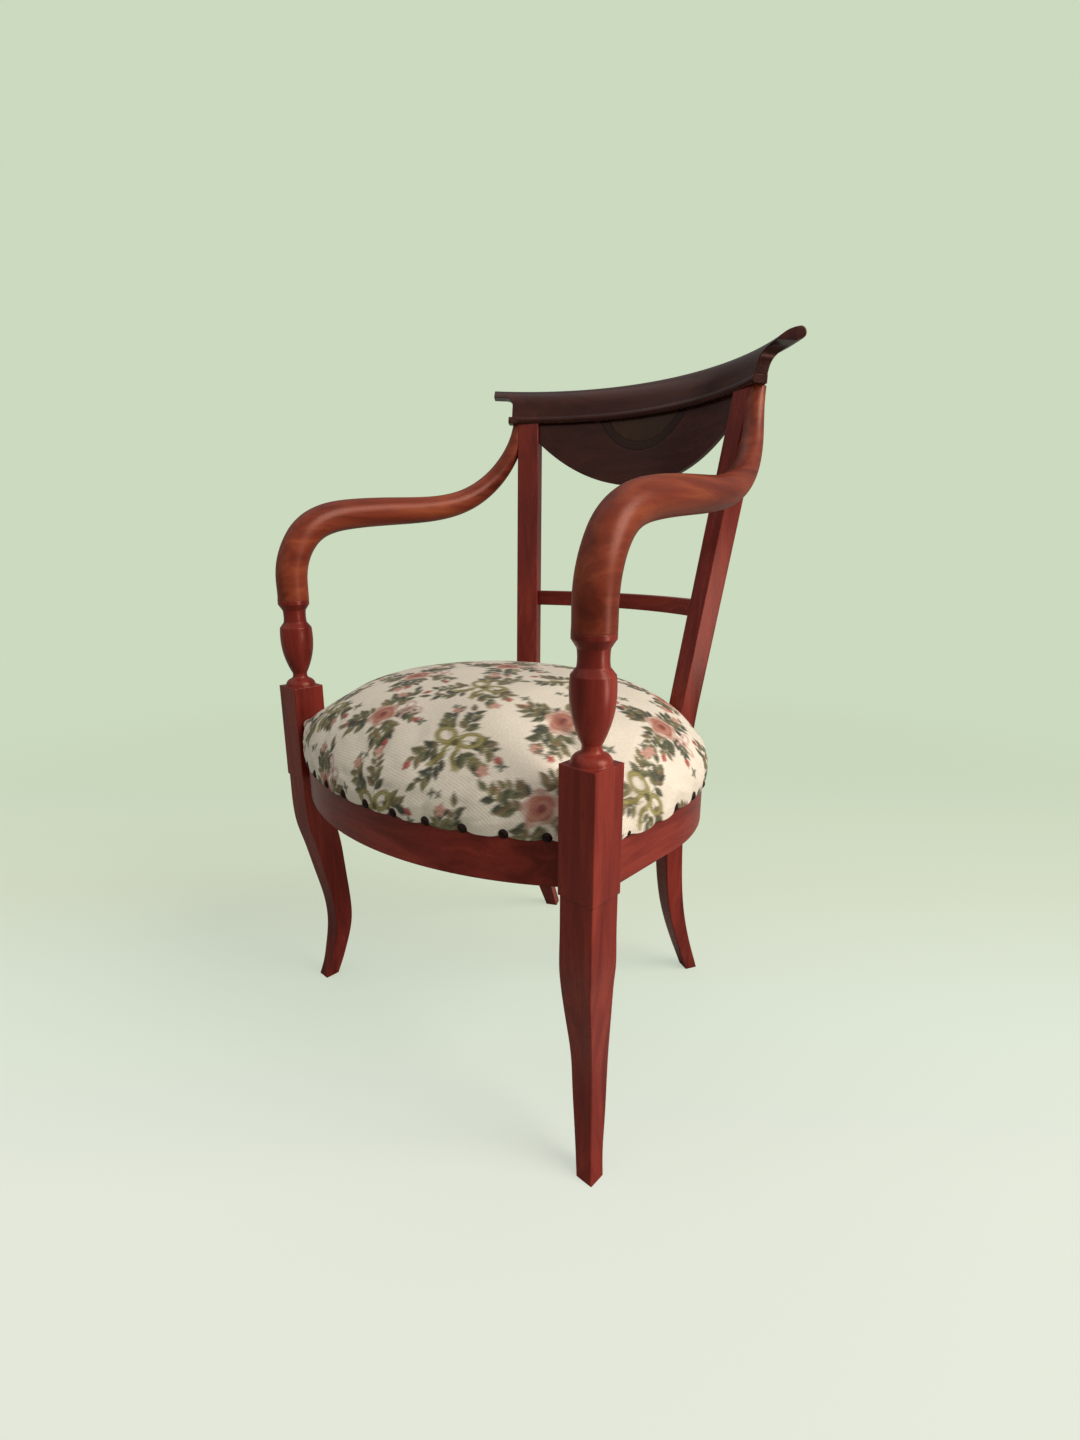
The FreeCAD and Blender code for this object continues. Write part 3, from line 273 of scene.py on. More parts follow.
def plain_weave(name, warp_colour, weft_colour, gap_shade_colour, thread_mm):
    """Coarse plain-woven bast or cotton cloth: crossing sets of uneven matt threads, with the gaps between
    them painted dark as painted shade.

    Threads of jute and hessian are about 2 mm apart, with slubs of 9 mm. Those of calico are 0.4 mm apart;
    they are drawn 1.6 mm apart so that they show.
    """
    material, tree, shader = new_material(name)
    coords = add(tree, "TexCoord").outputs["Object"]
    bands = WAVE_SCALE / thread_mm
    thread = {"Vector": coords, "Scale": bands, "Distortion": 0.6, "Detail": 2.0}
    across = add(tree, "TexWave", thread, bands_direction="X")
    along = add(tree, "TexWave", thread, bands_direction="Y")
    slub = add(tree, "TexNoise", {"Vector": coords, "Scale": 1000 / 9.0, "Detail": 3.0})
    threads = add(tree, "Mix", {0: across.outputs["Fac"], 6: linear(weft_colour), 7: linear(warp_colour)},
                  data_type="RGBA")
    height = add(tree, "Math", {0: across.outputs["Fac"], 1: along.outputs["Fac"]}, operation="MAXIMUM")
    # Painted shade: where neither set of threads stands high, the colour darkens towards the gap colour, as
    # shade in the gaps between threads.
    gap_shade_cover = add(tree, "MapRange", {"Value": height.outputs[0], 1: 0.15, 2: 0.55, 3: 0.75, 4: 0.0})
    threads_gap_shaded = add(tree, "Mix", {0: gap_shade_cover.outputs[0], 6: threads.outputs[2], 7: linear(gap_shade_colour)},
                 data_type="RGBA")
    mottled = add(tree, "Mix", {0: 0.35, 6: threads_gap_shaded.outputs[2], 7: slub.outputs["Color"]},
                  data_type="RGBA", blend_type="SOFT_LIGHT")
    bump = add(tree, "Bump", {"Height": height.outputs[0], "Strength": 0.6, "Distance": 0.0008})
    wire(tree, shader, {"Base Color": mottled.outputs[2], "Normal": bump.outputs[0], "Roughness": 0.9,
                        "Sheen Weight": 0.2})
    return material


def woven_tapestry(name):
    """Wool and cotton tapestry with a fine rib: matt, with a little sheen, its colours woven in.

    The woven colours come from the piece's own attribute, with flecks of 3 mm and faded patches of 80 mm.
    Ribs are 0.9 mm apart on such cloth; they are drawn 3 mm apart so that they show, and the colour is
    darkened between them as painted shade.
    """
    material, tree, shader = new_material(name)
    drawn = add(tree, "Attribute", attribute_name="tapestry")
    flat = add(tree, "UVMap", uv_map="flat")
    wool = add(tree, "TexNoise", {"Vector": flat.outputs[0], "Scale": 1000 / 3.0, "Detail": 3.0})
    age = add(tree, "TexNoise", {"Vector": flat.outputs[0], "Scale": 1000 / 80.0, "Detail": 3.0})
    rib = add(tree, "TexWave", {"Vector": flat.outputs[0], "Scale": WAVE_SCALE / 3.0, "Distortion": 0.8,
                                "Detail": 2.0, "Detail Scale": 2.0}, bands_direction="Y")
    # Painted shade: the colour darkens in the hollows between ribs, from 1.02 on a rib to 0.94 between.
    shade = add(tree, "MapRange", {"Value": rib.outputs["Fac"], 1: 0.0, 2: 1.0, 3: 0.94, 4: 1.02})
    fleck = add(tree, "MapRange", {"Value": wool.outputs["Fac"], 1: 0.3, 2: 0.7, 3: 0.92, 4: 1.05})
    faded = add(tree, "MapRange", {"Value": age.outputs["Fac"], 1: 0.35, 2: 0.7, 3: 0.93, 4: 1.02})
    first = add(tree, "Math", {0: shade.outputs[0], 1: fleck.outputs[0]}, operation="MULTIPLY")
    second = add(tree, "Math", {0: first.outputs[0], 1: faded.outputs[0]}, operation="MULTIPLY")
    colour = add(tree, "VectorMath", {0: drawn.outputs["Color"], "Scale": second.outputs[0]},
                 operation="SCALE")
    bump = add(tree, "Bump", {"Height": rib.outputs["Fac"], "Strength": 0.3, "Distance": 0.0004})
    wire(tree, shader, {"Base Color": colour.outputs[0], "Normal": bump.outputs[0], "Roughness": 0.8,
                        "Sheen Weight": 0.1, "Sheen Roughness": 0.4})
    return material


MAHOGANY = ((0.32, "#581914"), (0.50, "#7c2a22"), (0.68, "#983a2c"))
ARM_MAHOGANY = ((0.32, "#561d12"), (0.50, "#7c331f"), (0.68, "#9a4c2c"))
DARK_MAHOGANY = ((0.32, "#241011"), (0.50, "#391b18"), (0.68, "#4c2720"))
EBONISED = ((0.32, "#110b0b"), (0.50, "#1a1210"), (0.68, "#241917"))
WALNUT = ((0.32, "#241812"), (0.50, "#332417"), (0.68, "#45331f"))
BEECH = ((0.32, "#a8845c"), (0.50, "#c09c72"), (0.68, "#d0b088"))
MAHOGANY_PORE = "#2e0c0a"
MAHOGANY_WORN = "#ac5640"
ACROSS, DEEP, UPRIGHT = 0, 1, 2

upright_mahogany = polished_wood("mahogany_polished_upright", MAHOGANY, MAHOGANY_PORE, MAHOGANY_WORN,
                                 UPRIGHT)
across_mahogany = polished_wood("mahogany_polished_across", MAHOGANY, MAHOGANY_PORE, MAHOGANY_WORN,
                                ACROSS)
deep_mahogany = polished_wood("mahogany_polished_deep", MAHOGANY, MAHOGANY_PORE, MAHOGANY_WORN, DEEP)
arm_mahogany = polished_wood("mahogany_polished_arm", ARM_MAHOGANY, "#2e100a", "#b47848", DEEP,
                             gloss=(0.3, 0.42))
dark_mahogany = polished_wood("mahogany_darkened_crest", DARK_MAHOGANY, "#120807", "#6a3c2a", ACROSS)
ebonised_pear = polished_wood("pearwood_ebonised_inlay", EBONISED, "#070505", "#2a211c", ACROSS)
walnut_veneer = polished_wood("walnut_veneer_inlay", WALNUT, "#221809", "#6c5734", UPRIGHT)
planed_beech = polished_wood("beech_planed", BEECH, "#86633e", "#dcc4a0", UPRIGHT, gloss=(0.55, 0.7))
screw_steel = iron_fastening("steel_slotted_screw", ((0.35, "#5c5a58"), (0.65, "#8e8c88")),
                             roughness=(0.35, 0.5), pit_mm=1.5)
tack_steel = iron_fastening("steel_blued_tack", ((0.35, "#26282c"), (0.65, "#484c52")),
                            roughness=(0.4, 0.55), pit_mm=1.5)
browned_nail = iron_fastening("iron_browned_nail", ((0.35, "#1a0f0d"), (0.65, "#3a2822")),
                              roughness=(0.4, 0.6), pit_mm=2.5)
jute = plain_weave("jute_woven_webbing", "#b09468", "#9c7f54", "#4e3a22", thread_mm=2.4)
hessian = plain_weave("hessian_plain_woven", "#a88c60", "#b89c70", "#3e2e1a", thread_mm=2.0)
calico = plain_weave("calico_over_horsehair", "#d8ccb4", "#cfc2a8", "#a89a80", thread_mm=1.6)
tapestry = woven_tapestry("wool_tapestry_woven")

node_finish = {
    upright_mahogany: ("front_leg_left", "front_leg_right", "rear_leg_left", "rear_leg_right"),
    across_mahogany: ("seat_rail_front", "seat_rail_back", "mid_rail"),
    deep_mahogany: ("seat_rail_left", "seat_rail_right"),
    arm_mahogany: ("arm_left", "arm_right"),
    dark_mahogany: ("crest_rail", "back_panel"),
    ebonised_pear: ("inlay_band",),
    walnut_veneer: ("inlay_half_moon",),
    planed_beech: ("corner_block_front_left", "corner_block_front_right", "corner_block_rear_left",
                   "corner_block_rear_right", "joint_dowels", "panel_dowels"),
    screw_steel: ("block_screws", "leg_screws"),
    tack_steel: ("webbing_tacks",),
    browned_nail: ("cover_nails",),
}
for material, names in node_finish.items():
    for name in names:
        nodes[name].data.materials.clear()
        nodes[name].data.materials.append(material)


# Seat surfaces

def plan_line(offset=0.0, scale=1.0, draw_in=0.0):
    """Seat outline as angles and radii about the seat's middle.

    Half of it is the front bow, a circle through the front middle and the corner, then a shallow parabola
    round the corner, a straight side and a quarter of an ellipse. The other half is its mirror.
    """
    radius = BOW_RADIUS + offset
    front = SEAT_FRONT_Y - offset
    inward = max(draw_in, 0.0)
    corner = np.array([BLOCK_INNER_X - inward, 0.0])
    corner[1] = front + radius - np.sqrt(radius ** 2 - corner[0] ** 2) + min(draw_in, 0.0)
    depth = corner[1] - front
    bow = (corner[0] ** 2 + depth ** 2) / (2 * depth)
    bow_x = np.linspace(0.0, corner[0], BOW_POINTS)
    end = np.array([SEAT_HALF_WIDTH + offset, BLOCK_BACK_Y + CORNER_BULGE + inward])
    chord = end - corner
    outward = np.array([chord[1], -chord[0]]) / np.hypot(*chord)
    share = np.linspace(0.0, 1.0, CORNER_POINTS)[1:, None]
    turn = corner + chord * share + outward * (CORNER_BULGE + inward / 5) * 4 * share * (1 - share)
    angle = np.linspace(0.0, np.pi / 2, OVAL_POINTS)
    oval = np.stack([(SEAT_HALF_WIDTH + offset) * np.cos(angle),
                     OVAL_START_Y + (OVAL_DEPTH + offset) * np.sin(angle)], 1)
    front_bow = np.stack([bow_x, front + bow - np.sqrt(bow ** 2 - bow_x ** 2)], 1)
    half = np.concatenate([front_bow, turn, oval])
    half[:, 1] -= SEAT_MIDDLE_Y
    whole = np.concatenate([half, half * (-1.0, 1.0)]) * scale
    angles = np.arctan2(whole[:, 1], whole[:, 0])
    order = np.argsort(angles)
    return angles[order], np.hypot(whole[:, 0], whole[:, 1])[order]


def reach_to_box(angle, start, low, high):
    """Distance along rays at an angle from a start point to a box, infinite where they miss it.

    A ray is inside the box between the later of its two entries and the earlier of its two exits.
    """
    direction = np.stack([np.cos(angle), np.sin(angle)], -1)
    direction = np.where(np.abs(direction) < 1e-9, 1e-9, direction)
    first = (np.asarray(low) - start) / direction
    second = (np.asarray(high) - start) / direction
    enter = np.minimum(first, second).max(-1)
    leave = np.maximum(first, second).min(-1)
    return np.where((enter < leave) & (enter > 0), enter, np.inf)


def reach_to_legs(angle):
    """Room for the seat between its middle and the two blocks and two turned stiles, less a clearance."""
    room = np.full(angle.shape, np.inf)
    turn = radians(STILE_TURN)
    middle = SEAT_MIDDLE_Y - STILE_DATUM_Y
    turned_middle = (-middle * np.sin(turn), middle * np.cos(turn))
    for side in (angle, np.pi - angle):
        block = reach_to_box(side, (0.0, SEAT_MIDDLE_Y), (BLOCK_INNER_X, BLOCK_BACK_Y - BLOCK_SIDE),
                             (BLOCK_INNER_X + BLOCK_SIDE, BLOCK_BACK_Y))
        stile = reach_to_box(side + turn, turned_middle, (STILE_ACROSS[0], STILE_DEEP[0]),
                             (STILE_ACROSS[1], STILE_DEEP[1]))
        room = np.minimum(room, np.minimum(block, stile) - LEG_CLEARANCE)
    return room


def through(knots, values, at):
    """Cubic curve through values at knots: Hermite pieces whose slopes average the slopes on both sides."""
    step = np.diff(knots)
    slope = np.diff(values, axis=0) / step[:, None]
    inner = (slope[1:] * step[:-1, None] + slope[:-1] * step[1:, None]) / (step[1:] + step[:-1])[:, None]
    tangent = np.concatenate([slope[:1], inner, slope[-1:]])
    piece = np.clip(np.searchsorted(knots, at, side="right") - 1, 0, len(step) - 1)
    t = ((at - knots[piece]) / step[piece])[:, None]
    width = step[piece][:, None]
    return ((2 * t ** 3 - 3 * t ** 2 + 1) * values[piece]
            + (t ** 3 - 2 * t ** 2 + t) * width * tangent[piece]
            + (3 * t ** 2 - 2 * t ** 3) * values[piece + 1]
            + (t ** 3 - t ** 2) * width * tangent[piece + 1])


def pulled_tight(radii, heights):
    """Fills the hollows of the profiles, as stretched cloth does.

    A point inside the chord between two points, equally far before and after it, moves out onto that chord.
    """
    for span in BRIDGE_SPANS * BRIDGE_ROUNDS:
        inner = slice(span, -span)
        across = radii[2 * span:] - radii[:-2 * span]
        down = heights[:-2 * span] - heights[2 * span:]
        chord_radius = (radii[2 * span:] + radii[:-2 * span]) / 2
        chord_height = (heights[2 * span:] + heights[:-2 * span]) / 2
        outward = (chord_radius - radii[inner]) * down + (chord_height - heights[inner]) * across
        radii[inner] = np.where(outward > 0, chord_radius, radii[inner])
        heights[inner] = np.where(outward > 0, chord_height, heights[inner])


def seat_sections(shrink=0.0, skirt=True):
    """Table of the crowned seat: for each angle round it, radius, height and length from crown to hem.

    Each level is the seat outline scaled and drawn in, held back by the legs; a cubic curve runs down
    through the levels, and is then measured so that equal steps are equal lengths of cloth.
    """
    angle = np.linspace(-np.pi, np.pi, TABLE_ANGLES)
    room = reach_to_legs(angle)
    levels = [(0.0, PAD_BOTTOM_Z + CROWN_HEIGHT - shrink)]
    for scale, share, draw_in in reversed(CROWN_LEVELS):
        around, radius = plan_line(CLOTH_OFFSET, scale, draw_in)
        levels.append((np.interp(angle, around, radius, period=2 * np.pi) - shrink * np.sqrt(scale),
                       PAD_BOTTOM_Z + share * (CROWN_HEIGHT - shrink)))
    around, radius = plan_line(CLOTH_OFFSET - shrink)
    rail = np.interp(angle, around, radius, period=2 * np.pi)
    levels.append((rail, PAD_BOTTOM_Z))
    if skirt:
        levels += [(rail, (PAD_BOTTOM_Z + HEM_Z) / 2), (rail, HEM_Z)]
    radii = np.stack([np.minimum(radius * np.ones_like(angle), room - shrink) for radius, _ in levels])
    heights = np.stack([np.full_like(angle, height) for _, height in levels])
    mean = np.stack([radii.mean(1), heights.mean(1)], 1)
    knots = np.concatenate([[0.0], np.cumsum(np.hypot(*np.diff(mean, axis=0).T))])
    at = np.linspace(0.0, knots[-1], TABLE_ROWS)
    radii = np.minimum(np.maximum(through(knots, radii, at), 0.0), room - shrink)
    heights = through(knots, heights, at)
    pulled_tight(radii, heights)
    length = np.concatenate([np.zeros((1, angle.size)),
                             np.cumsum(np.hypot(np.diff(radii, axis=0), np.diff(heights, axis=0)), 0)])
    even = np.linspace(0.0, 1.0, TABLE_ROWS)
    radius_table = np.empty_like(radii)
    height_table = np.empty_like(radii)
    for column in range(angle.size):
        measured = length[:, column] / length[-1, column]
        radius_table[:, column] = np.interp(even, measured, radii[:, column])
        height_table[:, column] = np.interp(even, measured, heights[:, column])
    return radius_table, height_table, length[-1]


def looked_up(table, down, angle):
    """Bilinear value of a table of rows down the seat and columns round it."""
    row = np.clip(down, 0, 1) * (table.shape[0] - 1)
    column = (angle + np.pi) / (2 * np.pi) % 1.0 * (table.shape[1] - 1)
    r0 = np.minimum(row.astype(int), table.shape[0] - 2)
    c0 = np.minimum(column.astype(int), table.shape[1] - 2)
    fr = row - r0
    fc = column - c0
    upper = table[r0, c0] * (1 - fc) + table[r0, c0 + 1] * fc
    lower = table[r0 + 1, c0] * (1 - fc) + table[r0 + 1, c0 + 1] * fc
    return upper * (1 - fr) + lower * fr


def disc_grid(count):
    """A square grid drawn into a disc: how far out each point is, and its angle about the seat's middle.

    A square's point (u, v) goes to (u sqrt(1 - v^2 / 2), v sqrt(1 - u^2 / 2)); the angles are then eased so
    that the square's corners lie at the four legs.
    """
    u, v = np.meshgrid(np.linspace(-1, 1, count), np.linspace(-1, 1, count))
    x = (u * np.sqrt(1 - v ** 2 / 2)).ravel()
    y = (v * np.sqrt(1 - u ** 2 / 2)).ravel()
    angle = np.arctan2(y, x)
    turn = np.radians(np.cos(angle) * (CORNER_TURN - CORNER_TURN_FRONT * np.sin(angle)))
    return np.hypot(x, y), angle + turn


def from_nail(angle):
    """Distance along the rail from the nearest cover nail, in millimetres.

    The nails are evenly spaced, walking round from the front middle, which lies half way between two.
    """
    around, radius = plan_line(CLOTH_OFFSET)
    x = radius * np.cos(around)
    y = radius * np.sin(around)
    walk = np.concatenate([[0.0], np.cumsum(np.hypot(np.diff(x), np.diff(y)))])
    pitch = (walk[-1] + np.hypot(x[0] - x[-1], y[0] - y[-1])) / NAIL_COUNT
    turned = (angle + np.pi) % (2 * np.pi) - np.pi
    walked = np.interp(turned, around, walk) - np.interp(-np.pi / 2, around, walk)
    phase = walked / pitch - 0.5
    return np.abs(phase - np.round(phase)) * pitch


# Tapestry drawing

# Lengths are in millimetres. A leaf has a colour and a paler one for half of it; a ribbon has a light and
# a shade as well.
CLOTH_GROUND = "#ecdfca"
LEAF_GREENS = (("#58573a", "#86805a"), ("#474832", "#706e4e"), ("#6f6640", "#978b62"),
               ("#3b3d2e", "#625f49"), ("#6d5c3e", "#917f5c"))
STEM = "#77795a"
BUD = ("#a84c40", "#bd7a6c")
PETAL = ("#c08a76", "#d8b4a0")
SPRIG = ("#565a48", "#74785e")
PINK_RIBBON = ("#c9a193", "#dcc3b4", "#a06e5e")
GREEN_RIBBON = ("#857a42", "#b3a468", "#5e5730")
REPEAT = (122.0, 100.0)
REPEAT_START = (-14.0, 22.0)
REPEATS = range(-4, 5)
MOTIF_REACH = 100
LEAVES = 9
TAPESTRY_SEED = 11


def laid(canvas, cover, colour):
    """Lays a colour over the drawing by its cover."""
    canvas += cover[:, None] * (np.asarray(linear(colour)[:3]) - canvas)


def soft_step(distance, width=1.8):
    """Cover of a shape from its signed distance in millimetres, about one stitch wide at the edge."""
    return np.clip(0.5 - distance / width, 0.0, 1.0)


def local(points, place, turn):
    """Points in a motif's own turned axes."""
    c, s = np.cos(turn), np.sin(turn)
    return (points - np.asarray(place)) @ np.array([[c, -s], [s, c]])


def within(points, place, reach):
    """Which points lie less than a reach from a place."""
    return np.nonzero(np.hypot(*(points - np.asarray(place)).T) < reach)[0]


def draw_leaf(points, canvas, place, turn, length, width, colours):
    """A leaf: half width grows and falls as sin(pi t^0.8) along its length, and one half is paler."""
    near = within(points, place, length + 3)
    p = local(points[near], place, turn)
    t = np.clip(p[:, 0] / length, 0.0, 1.0)
    half = width / 2 * np.sin(np.pi * t ** 0.8)
    beyond = np.maximum(-p[:, 0], p[:, 0] - length)
    inside = soft_step(np.maximum(np.abs(p[:, 1]) - half, beyond))
    part = canvas[near]
    laid(part, inside, colours[0])
    laid(part, inside * soft_step(-p[:, 1]) * 0.55, colours[1])
    canvas[near] = part


def draw_path(points, canvas, path, width, colour):
    """A line: all points within half a width of a run of places."""
    middle = path.mean(0)
    reach = np.hypot(*(path - middle).T).max() + width + 3
    near = within(points, middle, reach)
    across = points[near, None, 0] - path[None, :, 0]
    up = points[near, None, 1] - path[None, :, 1]
    away = np.hypot(across, up).min(1)
    part = canvas[near]
    laid(part, soft_step(away - width / 2), colour)
    canvas[near] = part


def draw_branch(points, canvas, rng, start, heading, bend, length, leaves, tip):
    """A spray: a stem whose heading turns evenly, with leaves by turns on each side and one kind of tip."""
    share = np.linspace(0.0, 1.0, 26)
    turn = heading + bend * share
    step = length / (share.size - 1)
    path = np.asarray(start) + np.cumsum(np.stack([np.cos(turn), np.sin(turn)], 1) * step, 0)
    draw_path(points, canvas, path, 1.3, STEM)
    for leaf in range(leaves):
        spot = int((0.22 + 0.74 * leaf / leaves) * (share.size - 1))
        side = 1 if leaf % 2 else -1
        size = rng.uniform(13.0, 20.0) * (1.0 - 0.2 * leaf / leaves)
        greens = LEAF_GREENS[rng.integers(len(LEAF_GREENS))]
        aim = turn[spot] + side * rng.uniform(0.4, 1.2)
        draw_leaf(points, canvas, path[spot], aim, size, size * 0.5, greens)
    if tip == "bud":
        draw_leaf(points, canvas, path[-1], turn[-1], 12.0, 8.5, BUD)
    elif tip == "flower":
        for petal in range(5):
            draw_leaf(points, canvas, path[-1], turn[-1] + petal * 2 * np.pi / 5, 8.0, 5.5, PETAL)
    else:
        greens = LEAF_GREENS[rng.integers(len(LEAF_GREENS))]
        draw_leaf(points, canvas, path[-1], turn[-1], 16.0, 7.5, greens)


def draw_rose(points, canvas, place, turn, radius):
    """A rose: outer petals with edge R (0.9 + 0.1 cos 5a), round a spiral of shaded inner petals."""
    near = within(points, place, radius * 1.3)
    p = local(points[near], place, turn)
    r = np.hypot(p[:, 0], p[:, 1]) / radius
    a = np.arctan2(p[:, 1], p[:, 0])
    part = canvas[near]
    laid(part, soft_step((r - 0.9 - 0.1 * np.cos(5 * a)) * radius), "#c29a86")
    petals = np.clip(1.4 * np.abs(np.sin(2.5 * a + 0.4)) - 0.5, 0, 1)
    laid(part, soft_step((r - 0.84) * radius) * petals, "#d9bca8")
    laid(part, soft_step((r - 0.66 - 0.06 * np.cos(4 * a)) * radius), "#ab6450")
    swirl = 0.5 + 0.5 * np.cos(r * 15 + a)
    laid(part, soft_step((r - 0.62) * radius) * swirl * 0.8, "#c08b76")
    laid(part, soft_step((r - 0.22) * radius), "#86433a")
    canvas[near] = part


def draw_bow(points, canvas, place, turn, size, colours):
    """A ribbon bow: two leaning oval loops with open middles, a knot and two wavy tails."""
    ribbon, light, shade = colours
    near = within(points, place, size * 1.6)
    p = local(points[near], place, turn)
    part = canvas[near]
    for side in (-1, 1):
        x = p[:, 0] * side - size * 0.46
        y = p[:, 1] - size * 0.22
        lean = radians(24)
        across = (x * np.cos(lean) + y * np.sin(lean)) / (size * 0.46)
        up = (y * np.cos(lean) - x * np.sin(lean)) / (size * 0.34)
        ring = np.abs(np.hypot(across, up) - 0.8) * size * 0.38
        laid(part, soft_step(ring - size * 0.09), ribbon)
        laid(part, soft_step(ring - size * 0.03) * 0.8, light)
        t = np.clip(-p[:, 1] / (size * 0.95), 0, 1)
        tail = p[:, 0] * side - size * (0.06 + 0.42 * t + 0.07 * np.sin(t * 8))
        beyond = np.maximum(p[:, 1], -p[:, 1] - size * 0.95)
        strip = np.maximum(np.abs(tail) - size * 0.07 * (1 + t), beyond)
        laid(part, soft_step(strip), ribbon)
        laid(part, soft_step(strip + 1.4) * np.clip(np.sin(t * 8), 0, 1), light)
    laid(part, soft_step(np.hypot(p[:, 0], p[:, 1]) - size * 0.14), shade)
    canvas[near] = part


def draw_sprig(points, canvas, place, turn, size):
    """A small cross of four dark leaflets."""
    for quarter in range(4):
        draw_leaf(points, canvas, place, turn + quarter * np.pi / 2, size * 0.55, size * 0.26, SPRIG)


def tapestry_colours(points):
    """Colour of each place on the flat cloth.

    Roses and bows by turns, with sprays round them, stand in rows shifted by half a repeat, and sprigs lie
    between.
    """
    rng = np.random.default_rng(TAPESTRY_SEED)
    canvas = np.tile(np.asarray(linear(CLOTH_GROUND)[:3]), (len(points), 1))
    pitch_x, pitch_y = REPEAT
    for row in REPEATS:
        for column in REPEATS:
            place = np.array([(column + 0.5 * (row % 2)) * pitch_x, row * pitch_y]) + REPEAT_START
            near = np.nonzero(np.abs(points - place).max(1) < MOTIF_REACH)[0]
            lean = rng.uniform(-0.3, 0.3)
            part = canvas[near]
            spot = points[near]
            is_rose = (column + row) % 2 == 0
            branches = 7 if is_rose else 6
            for branch in range(branches):
                heading = branch * 2 * np.pi / branches + lean + 0.4
                bend = rng.uniform(0.5, 1.0) * (1 if branch % 2 else -1)
                start = place + 7.0 * np.array([np.cos(heading), np.sin(heading)])
                tip = ("bud", "leaf", "flower")[branch % 3]
                draw_branch(spot, part, rng, start, heading, bend, rng.uniform(36, 54), LEAVES, tip)
            if is_rose:
                draw_bow(spot, part, place + (26.0, 20.0), lean - 0.5, 19.0, PINK_RIBBON)
                draw_rose(spot, part, place, lean, 21.0)
            else:
                draw_bow(spot, part, place, lean, 32.0, GREEN_RIBBON)
            draw_sprig(spot, part, place + (pitch_x / 2, 6.0), 0.4 + lean, 14.0)
            draw_sprig(spot, part, place + (14.0, -pitch_y / 2 - 4.0), 0.9 - lean, 11.0)
            draw_sprig(spot, part, place + (-38.0, 48.0), 0.2 - lean, 9.0)
            canvas[near] = part
    return canvas


# Soft pieces

def cover_points(count, shrink=0.0):
    """Points of the cover on a disc grid, their places on the flat cloth, and their freedom from the legs.

    Near a nail the cloth falls in and its hem rises by exp(-(d / reach)^2) of the distance d along the
    rail; between nails it stands a little proud.
    """
    radius_table, height_table, total = seat_sections(shrink)
    down, angle = disc_grid(count)
    radius = looked_up(radius_table, down, angle)
    height = looked_up(height_table, down, angle)
    cloth = np.interp(angle, np.linspace(-np.pi, np.pi, total.size), total, period=2 * np.pi)
    pinch = np.exp(-(from_nail(angle) / PINCH_REACH) ** 2)
    free = np.clip((reach_to_legs(angle) - radius) / LEG_EASE, 0.0, 1.0)
    low = np.clip((PAD_BOTTOM_Z + PUFF_START - height) / PUFF_EASE, 0.0, 1.0)
    radius = radius + free * low * (PUFF - PINCH_DEPTH * pinch)
    hem = np.clip((HEM_Z + HEM_EASE - height) / HEM_EASE, 0.0, 1.0)
    height = height + hem * (HEM_RISE * pinch - HEM_SAG)
    points = np.stack([radius * np.cos(angle), SEAT_MIDDLE_Y + radius * np.sin(angle), height], 1)
    flat = np.stack([down * cloth * np.cos(angle), down * cloth * np.sin(angle)], 1)
    return points, flat, free


def settled(count):
    """How far a cloth simulation moves the cover's points, in millimetres.

    The cloth starts a little inside its shape, is held at its hem and is blown up gently from within, as
    stuffing fills a cover. Each move is capped.
    """
    start = cover_points(count, CLOTH_START_INSIDE)[0]
    obj = put_mesh("cover_trial", start, [grid_faces(count, count)], tapestry)
    row, column = np.divmod(np.arange(count * count), count)
    from_edge = np.minimum(np.minimum(row, column), np.minimum(count - 1 - row, count - 1 - column))
    held = np.nonzero(from_edge < CLOTH_HELD_ROWS)[0]
    obj.vertex_groups.new(name="hem").add(held.tolist(), 1.0, "REPLACE")
    cloth = obj.modifiers.new("cloth", "CLOTH")
    cloth.settings.quality = CLOTH_QUALITY
    cloth.settings.mass = CLOTH_MASS
    cloth.settings.vertex_group_mass = "hem"
    cloth.settings.use_pressure = True
    cloth.settings.uniform_pressure_force = CLOTH_PRESSURE
    cloth.settings.effector_weights.gravity = 0.0
    cloth.point_cache.frame_end = CLOTH_FRAMES
    for step in range(1, CLOTH_FRAMES + 1):
        bpy.context.scene.frame_set(step)
    evaluated = obj.evaluated_get(bpy.context.evaluated_depsgraph_get())
    ends = np.zeros(count * count * 3, np.float32)
    evaluated.data.vertices.foreach_get("co", ends)
    bpy.data.objects.remove(obj)
    bpy.context.scene.frame_set(1)
    move = ends.reshape(-1, 3) / MM - start
    size = np.linalg.norm(move, axis=1)
    return move * np.minimum(1.0, CLOTH_CAP / np.maximum(size, 1e-6))[:, None]


